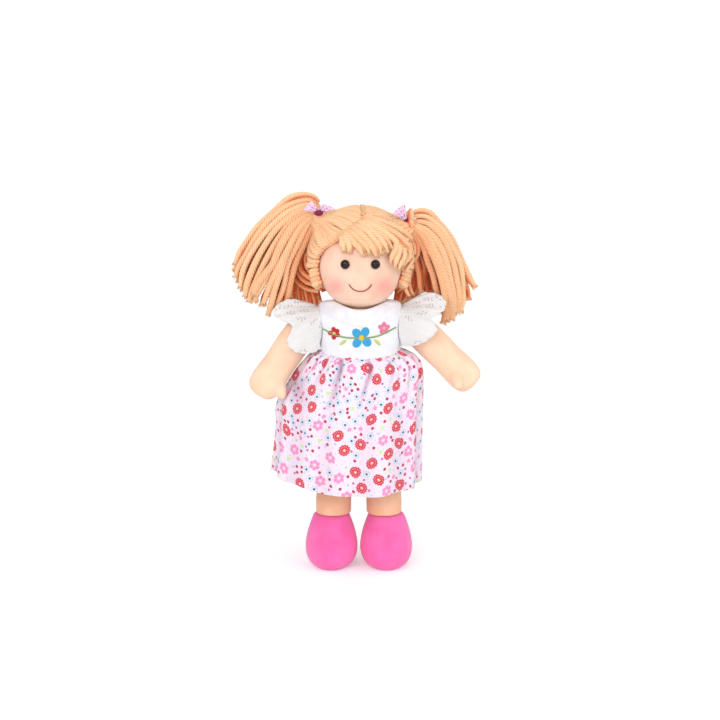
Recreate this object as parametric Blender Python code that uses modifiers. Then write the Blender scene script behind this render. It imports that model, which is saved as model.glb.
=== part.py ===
"""Rag doll: stuffed head, body and limbs, yarn hair in two bunches, safety eyes and a gathered dress.

The doll stands on the floor at Z = 0 and faces -Y. Left and right are the doll's own sides: its left is +X.
Every length is a named value in metres at the top, and tables of shares follow the sizes they are shares of.
Each soft part is a loft: a stack of rounded sections along a line, whose sizes swell and taper.
"""

import math

import bmesh
import bpy
import numpy as np
from mathutils import Matrix, Vector

# Where the doll stands, so that its outline is centred over the origin
stand_shift_x = 0.0036
stand_shift_y = 0.0

# Clearances shared by the pieces
seat_gap = 0.0003
cloth_gap = 0.0004
swing_gap = 0.0009
cut_overrun = 0.010
merge_distance = 0.00001

# Body bag, from the bottom seam to the shoulders
hip_height = 0.0840
body_height = 0.1095
body_half_width = 0.0310
body_half_depth = 0.0250
body_squareness = 2.6
body_height_shares = (0.0, 0.03, 0.065, 0.10, 0.155, 0.23, 0.36, 0.52, 0.67, 0.80, 0.90, 0.96, 1.0)
body_width_shares = (0.87, 0.90, 0.92, 0.935, 0.95, 0.97, 0.985, 0.965, 0.925, 0.95, 1.0, 0.99, 0.90)
body_depth_shares = (0.055, 0.16, 0.29, 0.42, 0.61, 0.81, 0.98, 1.0, 0.93, 0.84, 0.73, 0.61, 0.36)
neck_radius = 0.0115
neck_height = 0.0018

# Head ball
head_half_width = 0.0320
head_half_height = 0.0365
head_base_radius = 0.0116

# Safety eyes and their washers
eye_radius = 0.0034
eye_dome_height = 0.0027
eye_flange_thickness = 0.0005
eye_spacing = 0.0107
eye_height_share = 0.0
eye_stem_radius = 0.0012
eye_stem_length = 0.0085
washer_radius = 0.0048
washer_thickness = 0.0012
washer_depth = 0.0045

# Arms, from the shoulder joint to the tip of the hand
shoulder_drop = 0.0142
arm_seat_width = 0.0300
arm_root_radius = 0.0120
arm_root_length = 0.0045
arm_bend_length = 0.0140
arm_length = 0.0700
arm_half_width = 0.0126
arm_half_depth = 0.0110
arm_width_shares = (0.952, 0.952, 0.96, 0.98, 1.0, 0.98, 0.96, 1.0, 1.01, 0.90, 0.62, 0.16)
arm_depth_shares = (1.091, 1.091, 1.08, 1.05, 1.0, 0.96, 0.93, 0.96, 0.95, 0.82, 0.55, 0.14)
arm_length_shares = (0.0, 0.063, 0.12, 0.22, 0.36, 0.50, 0.62, 0.74, 0.85, 0.94, 0.985, 1.0)
arm_right_bend_degrees = 55.0
arm_left_bend_degrees = 44.0
hand_forward = 0.0150
thumb_length = 0.0100
thumb_radius = 0.0050
thumb_place_share = 0.80
thumb_reach_share = 0.80
thumb_right_turn_degrees = -12.0
thumb_left_turn_degrees = -62.0
thumb_lean_degrees = 38.0

# Legs and shoes
leg_half_width = 0.0136
leg_half_depth = 0.0133
leg_edge_radius = 0.0012
leg_spacing = 0.0192
leg_top_spacing = 0.0160
leg_shift = -0.0011
leg_straight_share = 0.3
leg_length_shares = (0.0, 0.22, 0.45, 0.61, 0.73, 0.83, 0.905, 0.957, 1.0, 1.026)
leg_width_shares = (0.985, 1.0, 0.99, 0.965, 0.935, 0.90, 0.87, 0.845, 0.825, 0.80)
leg_depth_shares = (0.99, 1.0, 0.98, 0.90, 0.72, 0.49, 0.255, 0.125, 0.075, 0.05)
shoe_spacing = 0.0208
shoe_height = 0.0388
shoe_half_width = 0.0199
shoe_half_depth = 0.0240
shoe_toe_shift = 0.0060
shoe_height_shares = (0.0, 0.03, 0.08, 0.18, 0.32, 0.50, 0.70, 0.87, 1.0)
shoe_width_shares = (0.60, 0.72, 0.82, 0.94, 1.0, 0.985, 0.90, 0.785, 0.685)
shoe_depth_shares = (0.70, 0.80, 0.875, 0.96, 1.0, 0.95, 0.81, 0.66, 0.55)
shoe_toe_shares = (1.0, 1.0, 1.0, 0.97, 0.88, 0.66, 0.37, 0.13, 0.0)

# Yarn hair
cap_side_thickness = 0.0080
cap_depth_thickness = 0.0060
cap_top_thickness = 0.0052
cap_nape_share = -0.68
window_width_share = 0.965
window_height_share = 0.86
window_centre_share = -0.22
fringe_thickness = 0.0060
fringe_left_height_share = 0.03
fringe_right_height_share = 0.42
bunch_root_height_share = 0.93
bunch_root_reach_share = 0.634
bunch_root_radius = 0.0066
bunch_half_width = 0.0270
bunch_half_depth = 0.0165
bunch_right_reach = 0.0451
bunch_right_fall = 0.0650
bunch_left_reach = 0.0448
bunch_left_fall = 0.0760
bunch_back_shift = 0.0040
bunch_hang_back = 0.0060
bunch_right_reach_shares = (0.0, 0.18, 0.438, 0.719, 0.922, 0.977, 0.93, 0.82, 0.797)
bunch_right_fall_shares = (0.055, 0.008, -0.03, 0.085, 0.33, 0.62, 0.82, 0.945, 0.975)
bunch_right_width_shares = (0.24, 0.245, 0.43, 0.64, 0.85, 1.0, 1.02, 0.86, 0.62)
bunch_left_reach_shares = (0.025, 0.281, 0.493, 0.638, 0.75, 0.84, 0.906, 0.94, 0.933)
bunch_left_fall_shares = (0.118, 0.059, 0.105, 0.237, 0.434, 0.66, 0.83, 0.955, 0.99)
bunch_left_width_shares = (0.24, 0.24, 0.375, 0.50, 0.61, 0.74, 0.74, 0.46, 0.31)
bunch_depth_shares = (0.38, 0.38, 0.62, 0.86, 1.0, 1.0, 0.95, 0.80, 0.55)
scoop_half_width = 0.0230
scoop_half_depth = 0.0240
scoop_half_height = 0.0280
scoop_shift = 0.0180
scoop_lift = 0.0070
bunch_end_tilt_degrees = 16.0
tie_tube_radius = 0.0013
tie_gap = 0.0011
bow_loop_length = 0.0110
bow_loop_half_height = 0.0036
bow_knot_radius = 0.0026
bow_end_lift = 0.0060
bow_inset = 0.0035
bow_rise = 0.0035
bow_end_forward = 0.0020
bow_forward = 0.0118
bow_turn_degrees = 30.0
bow_length_shares = (-1.0, -0.72, -0.4, -0.2, 0.0, 0.2, 0.4, 0.72, 1.0)
bow_height_shares = (1.0, 0.92, 0.55, 0.42, 0.60, 0.42, 0.55, 0.92, 1.0)
bow_thick_shares = (0.35, 0.60, 0.60, 0.75, 1.0, 0.75, 0.60, 0.60, 0.35)

# Dress
bodice_thickness = 0.0011
bodice_side_drop = 0.0295
bodice_front_drop = 0.0335
armhole_reach = 0.0158
neck_hole_half_width = 0.0180
neck_hole_half_depth = 0.0165
neck_hole_depth = 0.0180
binding_radius = 0.0014
binding_lift = 0.00035
back_slit_width = 0.0010
slit_start = 0.0060
closure_width = 0.0080
closure_length = 0.0220
closure_thickness = 0.0008
frill_base_radius = 0.0137
frill_width = 0.0170
frill_top_flare = 0.0180
frill_upright_share = 0.55
frill_forward = 0.0080
frill_base_reach = 0.0229
frill_side_flare = 0.0045
frill_wave_height = 0.0016
frill_thickness = 0.0010
frill_start_degrees = -58.0
frill_end_degrees = 238.0
frill_wave_count = 6
skirt_thickness = 0.0010
skirt_half_width = 0.0562
skirt_half_depth = 0.0395
skirt_sway = 0.0108
skirt_hem_height = 0.0685
skirt_hem_front_dip = 0.0070
skirt_hem_side_lift = 0.0045
gather_height = 0.0022
gather_count = 12
skirt_drop_shares = (0.0, 0.014, 0.04, 0.09, 0.17, 0.29, 0.45, 0.63, 0.82, 1.0)
skirt_width_shares = (0.0, 0.03, 0.20, 0.38, 0.56, 0.72, 0.89, 0.92, 0.96, 1.0)
skirt_depth_shares = (0.0, 0.03, 0.20, 0.42, 0.60, 0.72, 0.80, 0.87, 0.94, 1.0)
skirt_sway_shares = (0.0, -0.03, -0.10, -0.16, 0.03, 0.35, 0.74, 0.79, 0.87, 1.0)
gather_shares = (0.0, 0.12, 0.40, 0.75, 1.0, 1.0, 0.90, 0.85, 0.85, 0.9)

# Facets
section_sides = 20
hole_sides = 32
body_sides = 32
body_rings = 20
head_sides = 32
head_profile_steps = 14
cap_sides = 28
cap_rings = 16
skirt_sides = 60
frill_sides = 38
frill_rows = 3

# Heights that follow from the sizes above
body_bottom = hip_height + leg_edge_radius + seat_gap
body_top = body_bottom + body_height
neck_top = body_top + neck_height
head_base = neck_top + seat_gap
head_base_angle = math.asin(head_base_radius / head_half_width)
head_centre = head_base + head_half_height * math.cos(head_base_angle)
shoulder_height = body_top - shoulder_drop
leg_bottom = shoe_height + seat_gap

colours = {
    "skin_cotton": ((0.94, 0.66, 0.50), 0.85),
    "hair_yarn": ((0.90, 0.55, 0.26), 0.90),
    "eye_plastic": ((0.010, 0.007, 0.006), 0.08),
    "washer_plastic": ((0.85, 0.84, 0.80), 0.45),
    "shoe_cotton": ((0.93, 0.10, 0.42), 0.80),
    "white_cotton": ((0.88, 0.88, 0.92), 0.85),
    "eyelet_cotton": ((0.90, 0.90, 0.92), 0.85),
    "printed_cotton": ((0.87, 0.62, 0.74), 0.85),
    "bow_cotton": ((0.87, 0.50, 0.62), 0.85),
    "tie_elastic": ((0.78, 0.46, 0.24), 0.60),
    "closure_tape": ((0.88, 0.88, 0.88), 0.90),
}


def clear_scene():
    """Removes what the start-up file holds."""
    for old in list(bpy.data.objects):
        bpy.data.objects.remove(old, do_unlink=True)


def make_material(name):
    """A Principled material in the named finish."""
    colour, roughness = colours[name]
    material = bpy.data.materials.new(name)
    material.use_nodes = True
    shader = material.node_tree.nodes["Principled BSDF"]
    shader.inputs["Base Color"].default_value = (*colour, 1.0)
    shader.inputs["Roughness"].default_value = roughness
    shader.inputs["Metallic"].default_value = 0.0
    return material


def make_collections():
    """One collection for the doll and one for the cutters."""
    made = {}
    for name in ("rag_doll", "cutters"):
        made[name] = bpy.data.collections.new(name)
        bpy.context.scene.collection.children.link(made[name])
    return made


def make_empty(name, location, parent):
    """An empty that marks a joint's axis or where the doll stands."""
    empty = bpy.data.objects.new(name, None)
    empty.empty_display_size = seat_gap
    empty.location = location
    empty.parent = parent
    groups["rag_doll"].objects.link(empty)
    return empty


def add_piece(name, mesh, material_name, joint):
    """A node of the doll. Its mesh is in the doll's frame and its parent is the empty on its joint's axis."""
    piece = bpy.data.objects.new(name, mesh)
    piece.data.materials.append(materials[material_name])
    piece.parent = joint
    if joint is not stand:
        piece.matrix_parent_inverse = Matrix.Translation(-joint.location)
    groups["rag_doll"].objects.link(piece)
    smooth(mesh)
    return piece


def add_cutter(name, mesh):
    """A form that only cuts others or joins them."""
    cutter = bpy.data.objects.new(name, mesh)
    cutter.parent = stand
    cutter.hide_render = True
    cutter.display_type = "WIRE"
    groups["cutters"].objects.link(cutter)
    return cutter


def combine(piece, cutter, operation="DIFFERENCE"):
    """Cuts the piece by the cutter, joins them or keeps what they share."""
    boolean = piece.modifiers.new(f"{operation.lower()} {cutter.name}", "BOOLEAN")
    boolean.operation = operation
    boolean.solver = "EXACT"
    boolean.object = cutter


def smooth(mesh):
    """Shades a form smooth and keeps its real edges sharp."""
    mesh.shade_smooth()
    mesh.set_sharp_from_angle(angle=math.radians(40.0))


def soft_curve(x, known_x, known_y):
    """A smooth curve through known points, whose slope at each is the mean slope to its neighbours."""
    known_x = np.asarray(known_x, float)
    known_y = np.asarray(known_y, float)
    slopes = np.gradient(known_y, known_x)
    x = np.clip(x, known_x[0], known_x[-1])
    i = np.clip(np.searchsorted(known_x, x, side="right") - 1, 0, len(known_x) - 2)
    span = known_x[i + 1] - known_x[i]
    t = (x - known_x[i]) / span
    start = (1 + 2 * t) * (1 - t) ** 2 * known_y[i] + t * (1 - t) ** 2 * span * slopes[i]
    return start + t * t * (3 - 2 * t) * known_y[i + 1] + t * t * (t - 1) * span * slopes[i + 1]


def round_section(centre, across, deep, half_width, half_depth, sides=section_sides, squareness=2.0):
    """Points of a rounded section: an ellipse, or a squarer superellipse, in the plane of two directions."""
    angle = np.linspace(0, 2 * math.pi, sides, endpoint=False)
    u = np.sign(np.cos(angle)) * np.abs(np.cos(angle)) ** (2 / squareness)
    v = np.sign(np.sin(angle)) * np.abs(np.sin(angle)) ** (2 / squareness)
    return np.asarray(centre) + np.outer(u * half_width, across) + np.outer(v * half_depth, deep)


def loft(name, sections):
    """Skins a stack of sections, each going the same way round, and closes both ends."""
    form = bmesh.new()
    rings = [[form.verts.new(point) for point in section] for section in sections]
    for lower, upper in zip(rings, rings[1:]):
        for i in range(len(lower)):
            j = (i + 1) % len(lower)
            form.faces.new((lower[i], lower[j], upper[j], upper[i]))
    form.faces.new(rings[0])
    form.faces.new(rings[-1])
    return finish_form(name, form)


def finish_form(name, form):
    """Turns the faces of a closed form outwards and makes its mesh."""
    bmesh.ops.recalc_face_normals(form, faces=form.faces)
    mesh = bpy.data.meshes.new(name)
    form.to_mesh(mesh)
    form.free()
    return mesh


def sheet_mesh(name, grid, wraps):
    """An open surface through a grid of points, joined round its first direction where it wraps."""
    rows, sides = grid.shape[:2]
    form = bmesh.new()
    points = [[form.verts.new(point) for point in row] for row in grid]
    for lower, upper in zip(points, points[1:]):
        for i in range(sides if wraps else sides - 1):
            j = (i + 1) % sides
            form.faces.new((lower[i], lower[j], upper[j], upper[i]))
    mesh = bpy.data.meshes.new(name)
    form.to_mesh(mesh)
    form.free()
    return mesh


def give_wall(piece, thickness, offset):
    """Gives an open surface its thickness."""
    wall = piece.modifiers.new("wall", "SOLIDIFY")
    wall.thickness = thickness
    wall.offset = offset
    wall.use_even_offset = True


def cylinder(name, radius_x, radius_y, length, placing, sides=section_sides):
    """A closed cylinder along its own Z, stretched to two radii and placed."""
    form = bmesh.new()
    bmesh.ops.create_cone(
        form, cap_ends=True, segments=sides, radius1=1, radius2=1, depth=length
    )
    bmesh.ops.scale(form, vec=(radius_x, radius_y, 1), verts=form.verts)
    bmesh.ops.transform(form, matrix=placing, verts=form.verts)
    return finish_form(name, form)


def box(name, size, placing):
    """A closed box, placed."""
    form = bmesh.new()
    bmesh.ops.create_cube(form, size=1)
    bmesh.ops.scale(form, vec=size, verts=form.verts)
    bmesh.ops.transform(form, matrix=placing, verts=form.verts)
    return finish_form(name, form)


def ball(name, radii, placing, sides=section_sides, rings=14):
    """An ellipsoid, placed."""
    form = bmesh.new()
    bmesh.ops.create_uvsphere(form, u_segments=sides, v_segments=rings, radius=1)
    bmesh.ops.scale(form, vec=radii, verts=form.verts)
    bmesh.ops.transform(form, matrix=placing, verts=form.verts)
    return finish_form(name, form)


def turned(name, profile, axis_frame, sides):
    """Turns a profile of (radius, height) pairs, which starts and ends on the axis."""
    form = bmesh.new()
    edge = [form.verts.new((radius, 0, height)) for radius, height in profile]
    for upper, lower in zip(edge, edge[1:]):
        form.edges.new((upper, lower))
    bmesh.ops.spin(
        form,
        geom=form.verts[:] + form.edges[:],
        cent=(0, 0, 0),
        axis=(0, 0, 1),
        angle=2 * math.pi,
        steps=sides,
        use_merge=True,
    )
    bmesh.ops.remove_doubles(form, verts=form.verts, dist=merge_distance)
    bmesh.ops.transform(form, matrix=axis_frame, verts=form.verts)
    return finish_form(name, form)


def body_size(height):
    """Half the width and half the depth of the body bag at a height."""
    share = (np.asarray(height) - body_bottom) / body_height
    wide = soft_curve(share, body_height_shares, body_width_shares) * body_half_width
    deep = soft_curve(share, body_height_shares, body_depth_shares) * body_half_depth
    return wide, deep


def side_of_body(y, z, gap):
    """How far out the body's side lies at a place on it, a gap away from the cloth."""
    wide, deep = body_size(min(z, body_top))
    share = min(abs(y) / (deep + gap), 1.0)
    return (wide + gap) * (1 - share**body_squareness) ** (1 / body_squareness)


def height_on_body(x, y, gap):
    """The height at which the upper body's surface passes over a place, found by halving."""
    low = shoulder_height - shoulder_drop
    high = body_top
    for _ in range(40):
        middle = (low + high) / 2
        wide, deep = body_size(middle)
        reach = (abs(x) / (wide + gap)) ** body_squareness
        reach += (abs(y) / (deep + gap)) ** body_squareness
        if reach < 1:
            low = middle
        else:
            high = middle
    return low


def body_sections(bottom, top, rings, gap):
    """Sections of the body bag between two heights, a gap outside its surface."""
    heights = np.linspace(bottom, top, rings)
    across, deep = (1, 0, 0), (0, 1, 0)
    sections = []
    for height in heights:
        wide, thick = body_size(height)
        place = (0, 0, height)
        size = (wide + gap, thick + gap)
        sections.append(round_section(place, across, deep, *size, body_sides, body_squareness))
    return sections


def make_torso():
    """The stuffed body bag, with its neck and a round seat for each arm."""
    bag = loft("torso", body_sections(body_bottom, body_top, body_rings, 0))
    torso = add_piece("torso", bag, "skin_cotton", stand)
    neck_depth = neck_height + cut_overrun
    place = Matrix.Translation((0, 0, neck_top - neck_depth / 2))
    neck = cylinder("neck_form", neck_radius, neck_radius, neck_depth, place)
    combine(torso, add_cutter("neck_form", neck), "UNION")
    for side, sign in sides_of_doll:
        combine(torso, arm_hole_cutter(f"arm_seat_{side}", sign, arm_root_radius + seat_gap, arm_seat_width))
    return torso


def arm_hole_cutter(name, sign, radius, start):
    """A round hole along X through whatever lies outside a given reach, on the shoulder's axis."""
    length = cut_overrun + body_half_width - start + bodice_thickness
    middle = sign * (start + length / 2)
    placing = Matrix.Translation((middle, 0, shoulder_height)) @ Matrix.Rotation(math.pi / 2, 4, "Y")
    return add_cutter(name, cylinder(name, radius, radius, length, placing, hole_sides))


def head_form(name, gap):
    """The head ball a gap outside its surface: a turned egg with a flat base."""
    wide = head_half_width + gap
    tall = head_half_height + gap
    angles = np.linspace(0, math.pi - head_base_angle, head_profile_steps)
    profile = [(wide * math.sin(a), tall * math.cos(a)) for a in angles]
    profile.append((0.0, profile[-1][1]))
    return turned(name, profile, Matrix.Translation((0, 0, head_centre)), head_sides)


def eye_frame(sign):
    """Where an eye sits on the face, with its own Z pointing straight out of the surface."""
    height = eye_height_share * head_half_height
    reach = head_half_width * math.sqrt(1 - eye_height_share**2)
    turn = math.asin(eye_spacing / reach)
    out = Vector((sign * math.sin(turn), -math.cos(turn), 0))
    facing = out.to_track_quat("Z", "X").to_matrix().to_4x4()
    place = Vector((0, 0, head_centre + height)) + out * reach
    return Matrix.Translation(place) @ facing


def make_head():
    """The stuffed head, with a stem hole and a washer pocket behind each eye."""
    head = add_piece("head", head_form("head", 0), "skin_cotton", neck_joint)
    for side, sign in sides_of_doll:
        frame = eye_frame(sign)
        hole_depth = eye_stem_length + seat_gap
        hole_length = hole_depth + cut_overrun
        hole_place = frame @ Matrix.Translation((0, 0, hole_length / 2 - hole_depth))
        hole_radius = eye_stem_radius + seat_gap
        hole = cylinder(f"stem_hole_{side}", hole_radius, hole_radius, hole_length, hole_place, 12)
        combine(head, add_cutter(f"stem_hole_{side}", hole))
        pocket_radius = washer_radius + seat_gap
        pocket_height = washer_thickness + 2 * seat_gap
        pocket_place = frame @ Matrix.Translation((0, 0, -washer_depth))
        name = f"washer_pocket_{side}"
        pocket = cylinder(name, pocket_radius, pocket_radius, pocket_height, pocket_place)
        combine(head, add_cutter(name, pocket))
    return head


def make_eyes():
    """Domed eyes on stems, and the washers that lock them inside the head."""
    for side, sign in sides_of_doll:
        frame = eye_frame(sign)
        dome = [
            (eye_radius * math.sin(a), seat_gap + eye_flange_thickness + eye_dome_height * math.cos(a))
            for a in np.linspace(0, math.pi / 2, 7)
        ]
        stem = [
            (eye_radius, seat_gap),
            (eye_stem_radius, seat_gap),
            (eye_stem_radius, -eye_stem_length),
            (0.0, -eye_stem_length),
        ]
        add_piece(f"eye_{side}", turned(f"eye_{side}", dome + stem, frame, 16), "eye_plastic", neck_joint)
        place = frame @ Matrix.Translation((0, 0, -washer_depth))
        washer = cylinder(f"eye_washer_{side}", washer_radius, washer_radius, washer_thickness, place, 20)
        washer = add_piece(f"eye_washer_{side}", washer, "washer_plastic", neck_joint)
        bore_radius = eye_stem_radius + seat_gap / 2
        bore = cylinder(f"washer_bore_{side}", bore_radius, bore_radius, cut_overrun, place, 12)
        combine(washer, add_cutter(f"washer_bore_{side}", bore))


def cap_ball(name, gap):
    """The outer surface of the yarn that covers the head."""
    radii = (
        head_half_width + cap_side_thickness + gap,
        head_half_width + cap_depth_thickness + gap,
        head_half_height + cap_top_thickness + gap,
    )
    return ball(name, radii, Matrix.Translation((0, 0, head_centre)), cap_sides, cap_rings)


def window_cutter(name, gap):
    """The face opening in the hair: a round arch, open downwards, through the front half only."""
    wide = window_width_share * head_half_width + gap
    tall = window_height_share * head_half_height + gap
    middle = head_centre + window_centre_share * head_half_height
    depth = head_half_width + cap_depth_thickness + cut_overrun
    sections = []
    arch = [(wide * math.cos(a), middle + tall * math.sin(a)) for a in np.linspace(0, math.pi, 20)]
    foot = head_centre - head_half_height - cut_overrun
    outline = [(wide, foot)] + arch + [(-wide, foot)]
    for y in (-depth, 0):
        sections.append(np.array([(x, y, z) for x, z in outline]))
    return add_cutter(name, loft(name, sections))


def make_hair_cap():
    """Yarn sewn over the head: a thick shell, open over the face and under the nape."""
    cap = add_piece("hair_cap", cap_ball("hair_cap", 0), "hair_yarn", neck_joint)
    combine(cap, add_cutter("cap_inside", head_form("cap_inside", cloth_gap)))
    combine(cap, window_cutter("face_window", 0))
    nape = head_centre + cap_nape_share * head_half_height
    size = 2 * (head_half_width + cap_side_thickness + cut_overrun)
    below = box("nape_cut", (size, size, size), Matrix.Translation((0, 0, nape - size / 2)))
    combine(cap, add_cutter("nape_cut", below))
    return cap


def make_fringe():
    """Short strands over the forehead: the upper part of the face opening, down to a slanting edge."""
    radii = (
        head_half_width + fringe_thickness,
        head_half_width + fringe_thickness,
        head_half_height + fringe_thickness,
    )
    outside = ball("fringe", radii, Matrix.Translation((0, 0, head_centre)), cap_sides, cap_rings)
    fringe = add_piece("fringe", outside, "hair_yarn", neck_joint)
    combine(fringe, add_cutter("fringe_inside", head_form("fringe_inside", cloth_gap)))
    combine(fringe, window_cutter("fringe_outline", -seat_gap), "INTERSECT")
    left = head_centre + fringe_left_height_share * head_half_height
    right = head_centre + fringe_right_height_share * head_half_height
    slope = math.atan2(left - right, 2 * head_half_width)
    size = 4 * head_half_width
    tilt = Matrix.Rotation(-slope, 4, "Y")
    place = Matrix.Translation((0, 0, (left + right) / 2)) @ tilt @ Matrix.Translation((0, 0, -size / 2))
    combine(fringe, add_cutter("fringe_edge", box("fringe_edge", (size, size, size), place)))
    return fringe


def bunch_sections(sign, reach, fall, reach_shares, fall_shares, width_shares):
    """Sections of a bunch along its line, which leaves the head sideways, arches over and hangs."""
    known = np.linspace(0, 1, len(reach_shares))
    steps = np.linspace(0, 1, 17)
    out = soft_curve(steps, known, reach_shares) * reach
    down = soft_curve(steps, known, fall_shares) * fall
    root_height = head_centre + bunch_root_height_share * head_half_height
    root_reach = (head_half_width + cap_side_thickness) * bunch_root_reach_share
    back = bunch_back_shift + bunch_hang_back * steps * steps
    line = np.stack([sign * (root_reach + out), back, root_height - down], 1)
    along = np.gradient(line, axis=0)
    along /= np.linalg.norm(along, axis=1)[:, None]
    wide = soft_curve(steps, known, width_shares) * bunch_half_width
    thick = soft_curve(steps, known, bunch_depth_shares) * bunch_half_depth
    tilt = np.radians(bunch_end_tilt_degrees) * steps**3
    sections = []
    for place, direction, half_width, half_depth, lean in zip(line, along, wide, thick, tilt):
        turned_direction = Vector(direction)
        turned_direction.rotate(Matrix.Rotation(-sign * lean, 3, "Y"))
        across = turned_direction.cross(Vector((0, 1, 0)))
        sections.append(round_section(place, across, (0, 1, 0), half_width, half_depth, 20))
    return sections, line, along


def make_bunches():
    """The two bunches of yarn, each with its tie and its bow."""
    shapes = {
        "right": (
            bunch_right_reach,
            bunch_right_fall,
            bunch_right_reach_shares,
            bunch_right_fall_shares,
            bunch_right_width_shares,
        ),
        "left": (
            bunch_left_reach,
            bunch_left_fall,
            bunch_left_reach_shares,
            bunch_left_fall_shares,
            bunch_left_width_shares,
        ),
    }
    for side, sign in sides_of_doll:
        sections, line, along = bunch_sections(sign, *shapes[side])
        name = f"hair_bunch_{side}"
        bunch = add_piece(name, loft(name, sections), "hair_yarn", neck_joint)
        combine(bunch, add_cutter(f"bunch_seat_{side}", cap_ball(f"bunch_seat_{side}", seat_gap)))
        combine(bunch, shoulder_scoop(side, sign))
        make_tie(side, Vector(line[2]), Vector(along[2]))
        make_bow(side, sign, Vector(line[2]))


def shoulder_scoop(side, sign):
    """The room that the sleeve frill takes from the lower end of a bunch."""
    radii = (scoop_half_width, scoop_half_depth, scoop_half_height)
    place = (sign * (arm_seat_width + scoop_shift), 0, shoulder_height + scoop_lift)
    name = f"shoulder_scoop_{side}"
    return add_cutter(name, ball(name, radii, Matrix.Translation(place)))


def make_tie(side, place, direction):
    """An elastic ring round the root of a bunch."""
    ring_radius = bunch_root_radius + tie_gap + tie_tube_radius
    facing = direction.to_track_quat("Z", "Y").to_matrix().to_4x4()
    frame = Matrix.Translation(place) @ facing
    form = bmesh.new()
    sides, tube_sides = 20, 8
    rings = []
    for a in np.linspace(0, 2 * math.pi, sides, endpoint=False):
        middle = Vector((math.cos(a), math.sin(a), 0)) * ring_radius
        outward = middle.normalized()
        ring = []
        for b in np.linspace(0, 2 * math.pi, tube_sides, endpoint=False):
            lift = Vector((0, 0, math.sin(b))) + outward * math.cos(b)
            ring.append(form.verts.new(frame @ (middle + lift * tie_tube_radius)))
        rings.append(ring)
    for i in range(sides):
        this, following = rings[i], rings[(i + 1) % sides]
        for k in range(tube_sides):
            m = (k + 1) % tube_sides
            form.faces.new((this[k], this[m], following[m], following[k]))
    name = f"hair_tie_{side}"
    return add_piece(name, finish_form(name, form), "tie_elastic", neck_joint)


def make_bow(side, sign, place):
    """A knotted strip: two flared ends and a knot, lying sideways on the front of the tie."""
    turn = math.radians(bow_turn_degrees)
    along = Vector((math.cos(turn), sign * math.sin(turn), 0))
    out = Vector((sign * math.sin(turn), -math.cos(turn), 0))
    upward = Vector((0, 0, 1))
    centre = place + Vector((-sign * bow_inset, -bow_forward, bow_rise))
    sections = []
    shares = zip(bow_length_shares, bow_height_shares, bow_thick_shares)
    for length_share, height_share, thick_share in shares:
        middle = centre + along * (length_share * bow_loop_length)
        middle += out * (abs(length_share) * bow_end_forward)
        middle += upward * (abs(length_share) * bow_end_lift)
        half_height = height_share * bow_loop_half_height
        half_thick = thick_share * bow_knot_radius
        sections.append(round_section(middle, upward, out, half_height, half_thick, 12))
    name = f"bow_{side}"
    return add_piece(name, loft(name, sections), "bow_cotton", neck_joint)


def arm_line(sign, bend_degrees, distances):
    """Centres and directions along an arm: straight out of the shoulder, then bent down by a smooth turn."""
    fine = np.linspace(0, arm_length, 400)
    turn = np.clip((fine - arm_root_length) / arm_bend_length, 0, 1)
    angle = np.radians(bend_degrees) * turn * turn * (3 - 2 * turn)
    step = fine[1] - fine[0]
    out = np.concatenate([[0], np.cumsum(np.cos(angle[:-1]) * step)])
    down = np.concatenate([[0], np.cumsum(np.sin(angle[:-1]) * step)])
    forward = hand_forward * np.clip((fine - arm_root_length) / arm_length, 0, 1) ** 1.5
    x = sign * (arm_seat_width + seat_gap + np.interp(distances, fine, out))
    y = -np.interp(distances, fine, forward)
    z = shoulder_height - np.interp(distances, fine, down)
    centres = np.stack([x, y, z], 1)
    slope = np.interp(distances, fine, angle)
    directions = np.stack([sign * np.cos(slope), np.zeros(len(slope)), -np.sin(slope)], 1)
    normals = np.stack([sign * np.sin(slope), np.zeros(len(slope)), np.cos(slope)], 1)
    return centres, directions, normals


def make_arms():
    """Stuffed arms with a mitten hand: a round root that turns in its seat, and a thumb joined on."""
    bends = {"left": arm_left_bend_degrees, "right": arm_right_bend_degrees}
    thumb_turns = {"left": thumb_left_turn_degrees, "right": thumb_right_turn_degrees}
    for side, sign in sides_of_doll:
        middle_shares = np.linspace(arm_length_shares[1], arm_length_shares[-4], 11)
        shares = np.concatenate([arm_length_shares[:1], middle_shares, arm_length_shares[-3:]])
        centres, directions, normals = arm_line(sign, bends[side], shares * arm_length)
        wide = soft_curve(shares, arm_length_shares, arm_width_shares) * arm_half_width
        deep = soft_curve(shares, arm_length_shares, arm_depth_shares) * arm_half_depth
        sections = [
            round_section(centre, normal, (0, 1, 0), half_width, half_depth, 22)
            for centre, normal, half_width, half_depth in zip(centres, normals, wide, deep)
        ]
        name = f"arm_{side}"
        arm = add_piece(name, loft(name, sections), "skin_cotton", shoulder_joints[side])
        combine(arm, make_thumb(side, sign, bends[side], thumb_turns[side]), "UNION")


def make_thumb(side, sign, bend_degrees, turn_degrees):
    """The thumb's rounded form, which leans towards the fingers on the inner side of the hand."""
    centres, directions, normals = arm_line(sign, bend_degrees, np.array([thumb_place_share * arm_length]))
    along = Vector(directions[0])
    inner = Vector(-normals[0])
    inner.rotate(Matrix.Rotation(sign * math.radians(turn_degrees), 3, along))
    side_axis = along.cross(inner)
    pointing = inner.copy()
    pointing.rotate(Matrix.Rotation(-math.radians(thumb_lean_degrees), 3, side_axis))
    centre = Vector(centres[0]) + inner * (thumb_reach_share * arm_half_width)
    facing = pointing.to_track_quat("Z", "Y").to_matrix().to_4x4()
    radii = (thumb_radius, thumb_radius, thumb_length)
    name = f"thumb_{side}"
    return add_cutter(name, ball(name, radii, Matrix.Translation(centre) @ facing, 14, 8))


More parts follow.
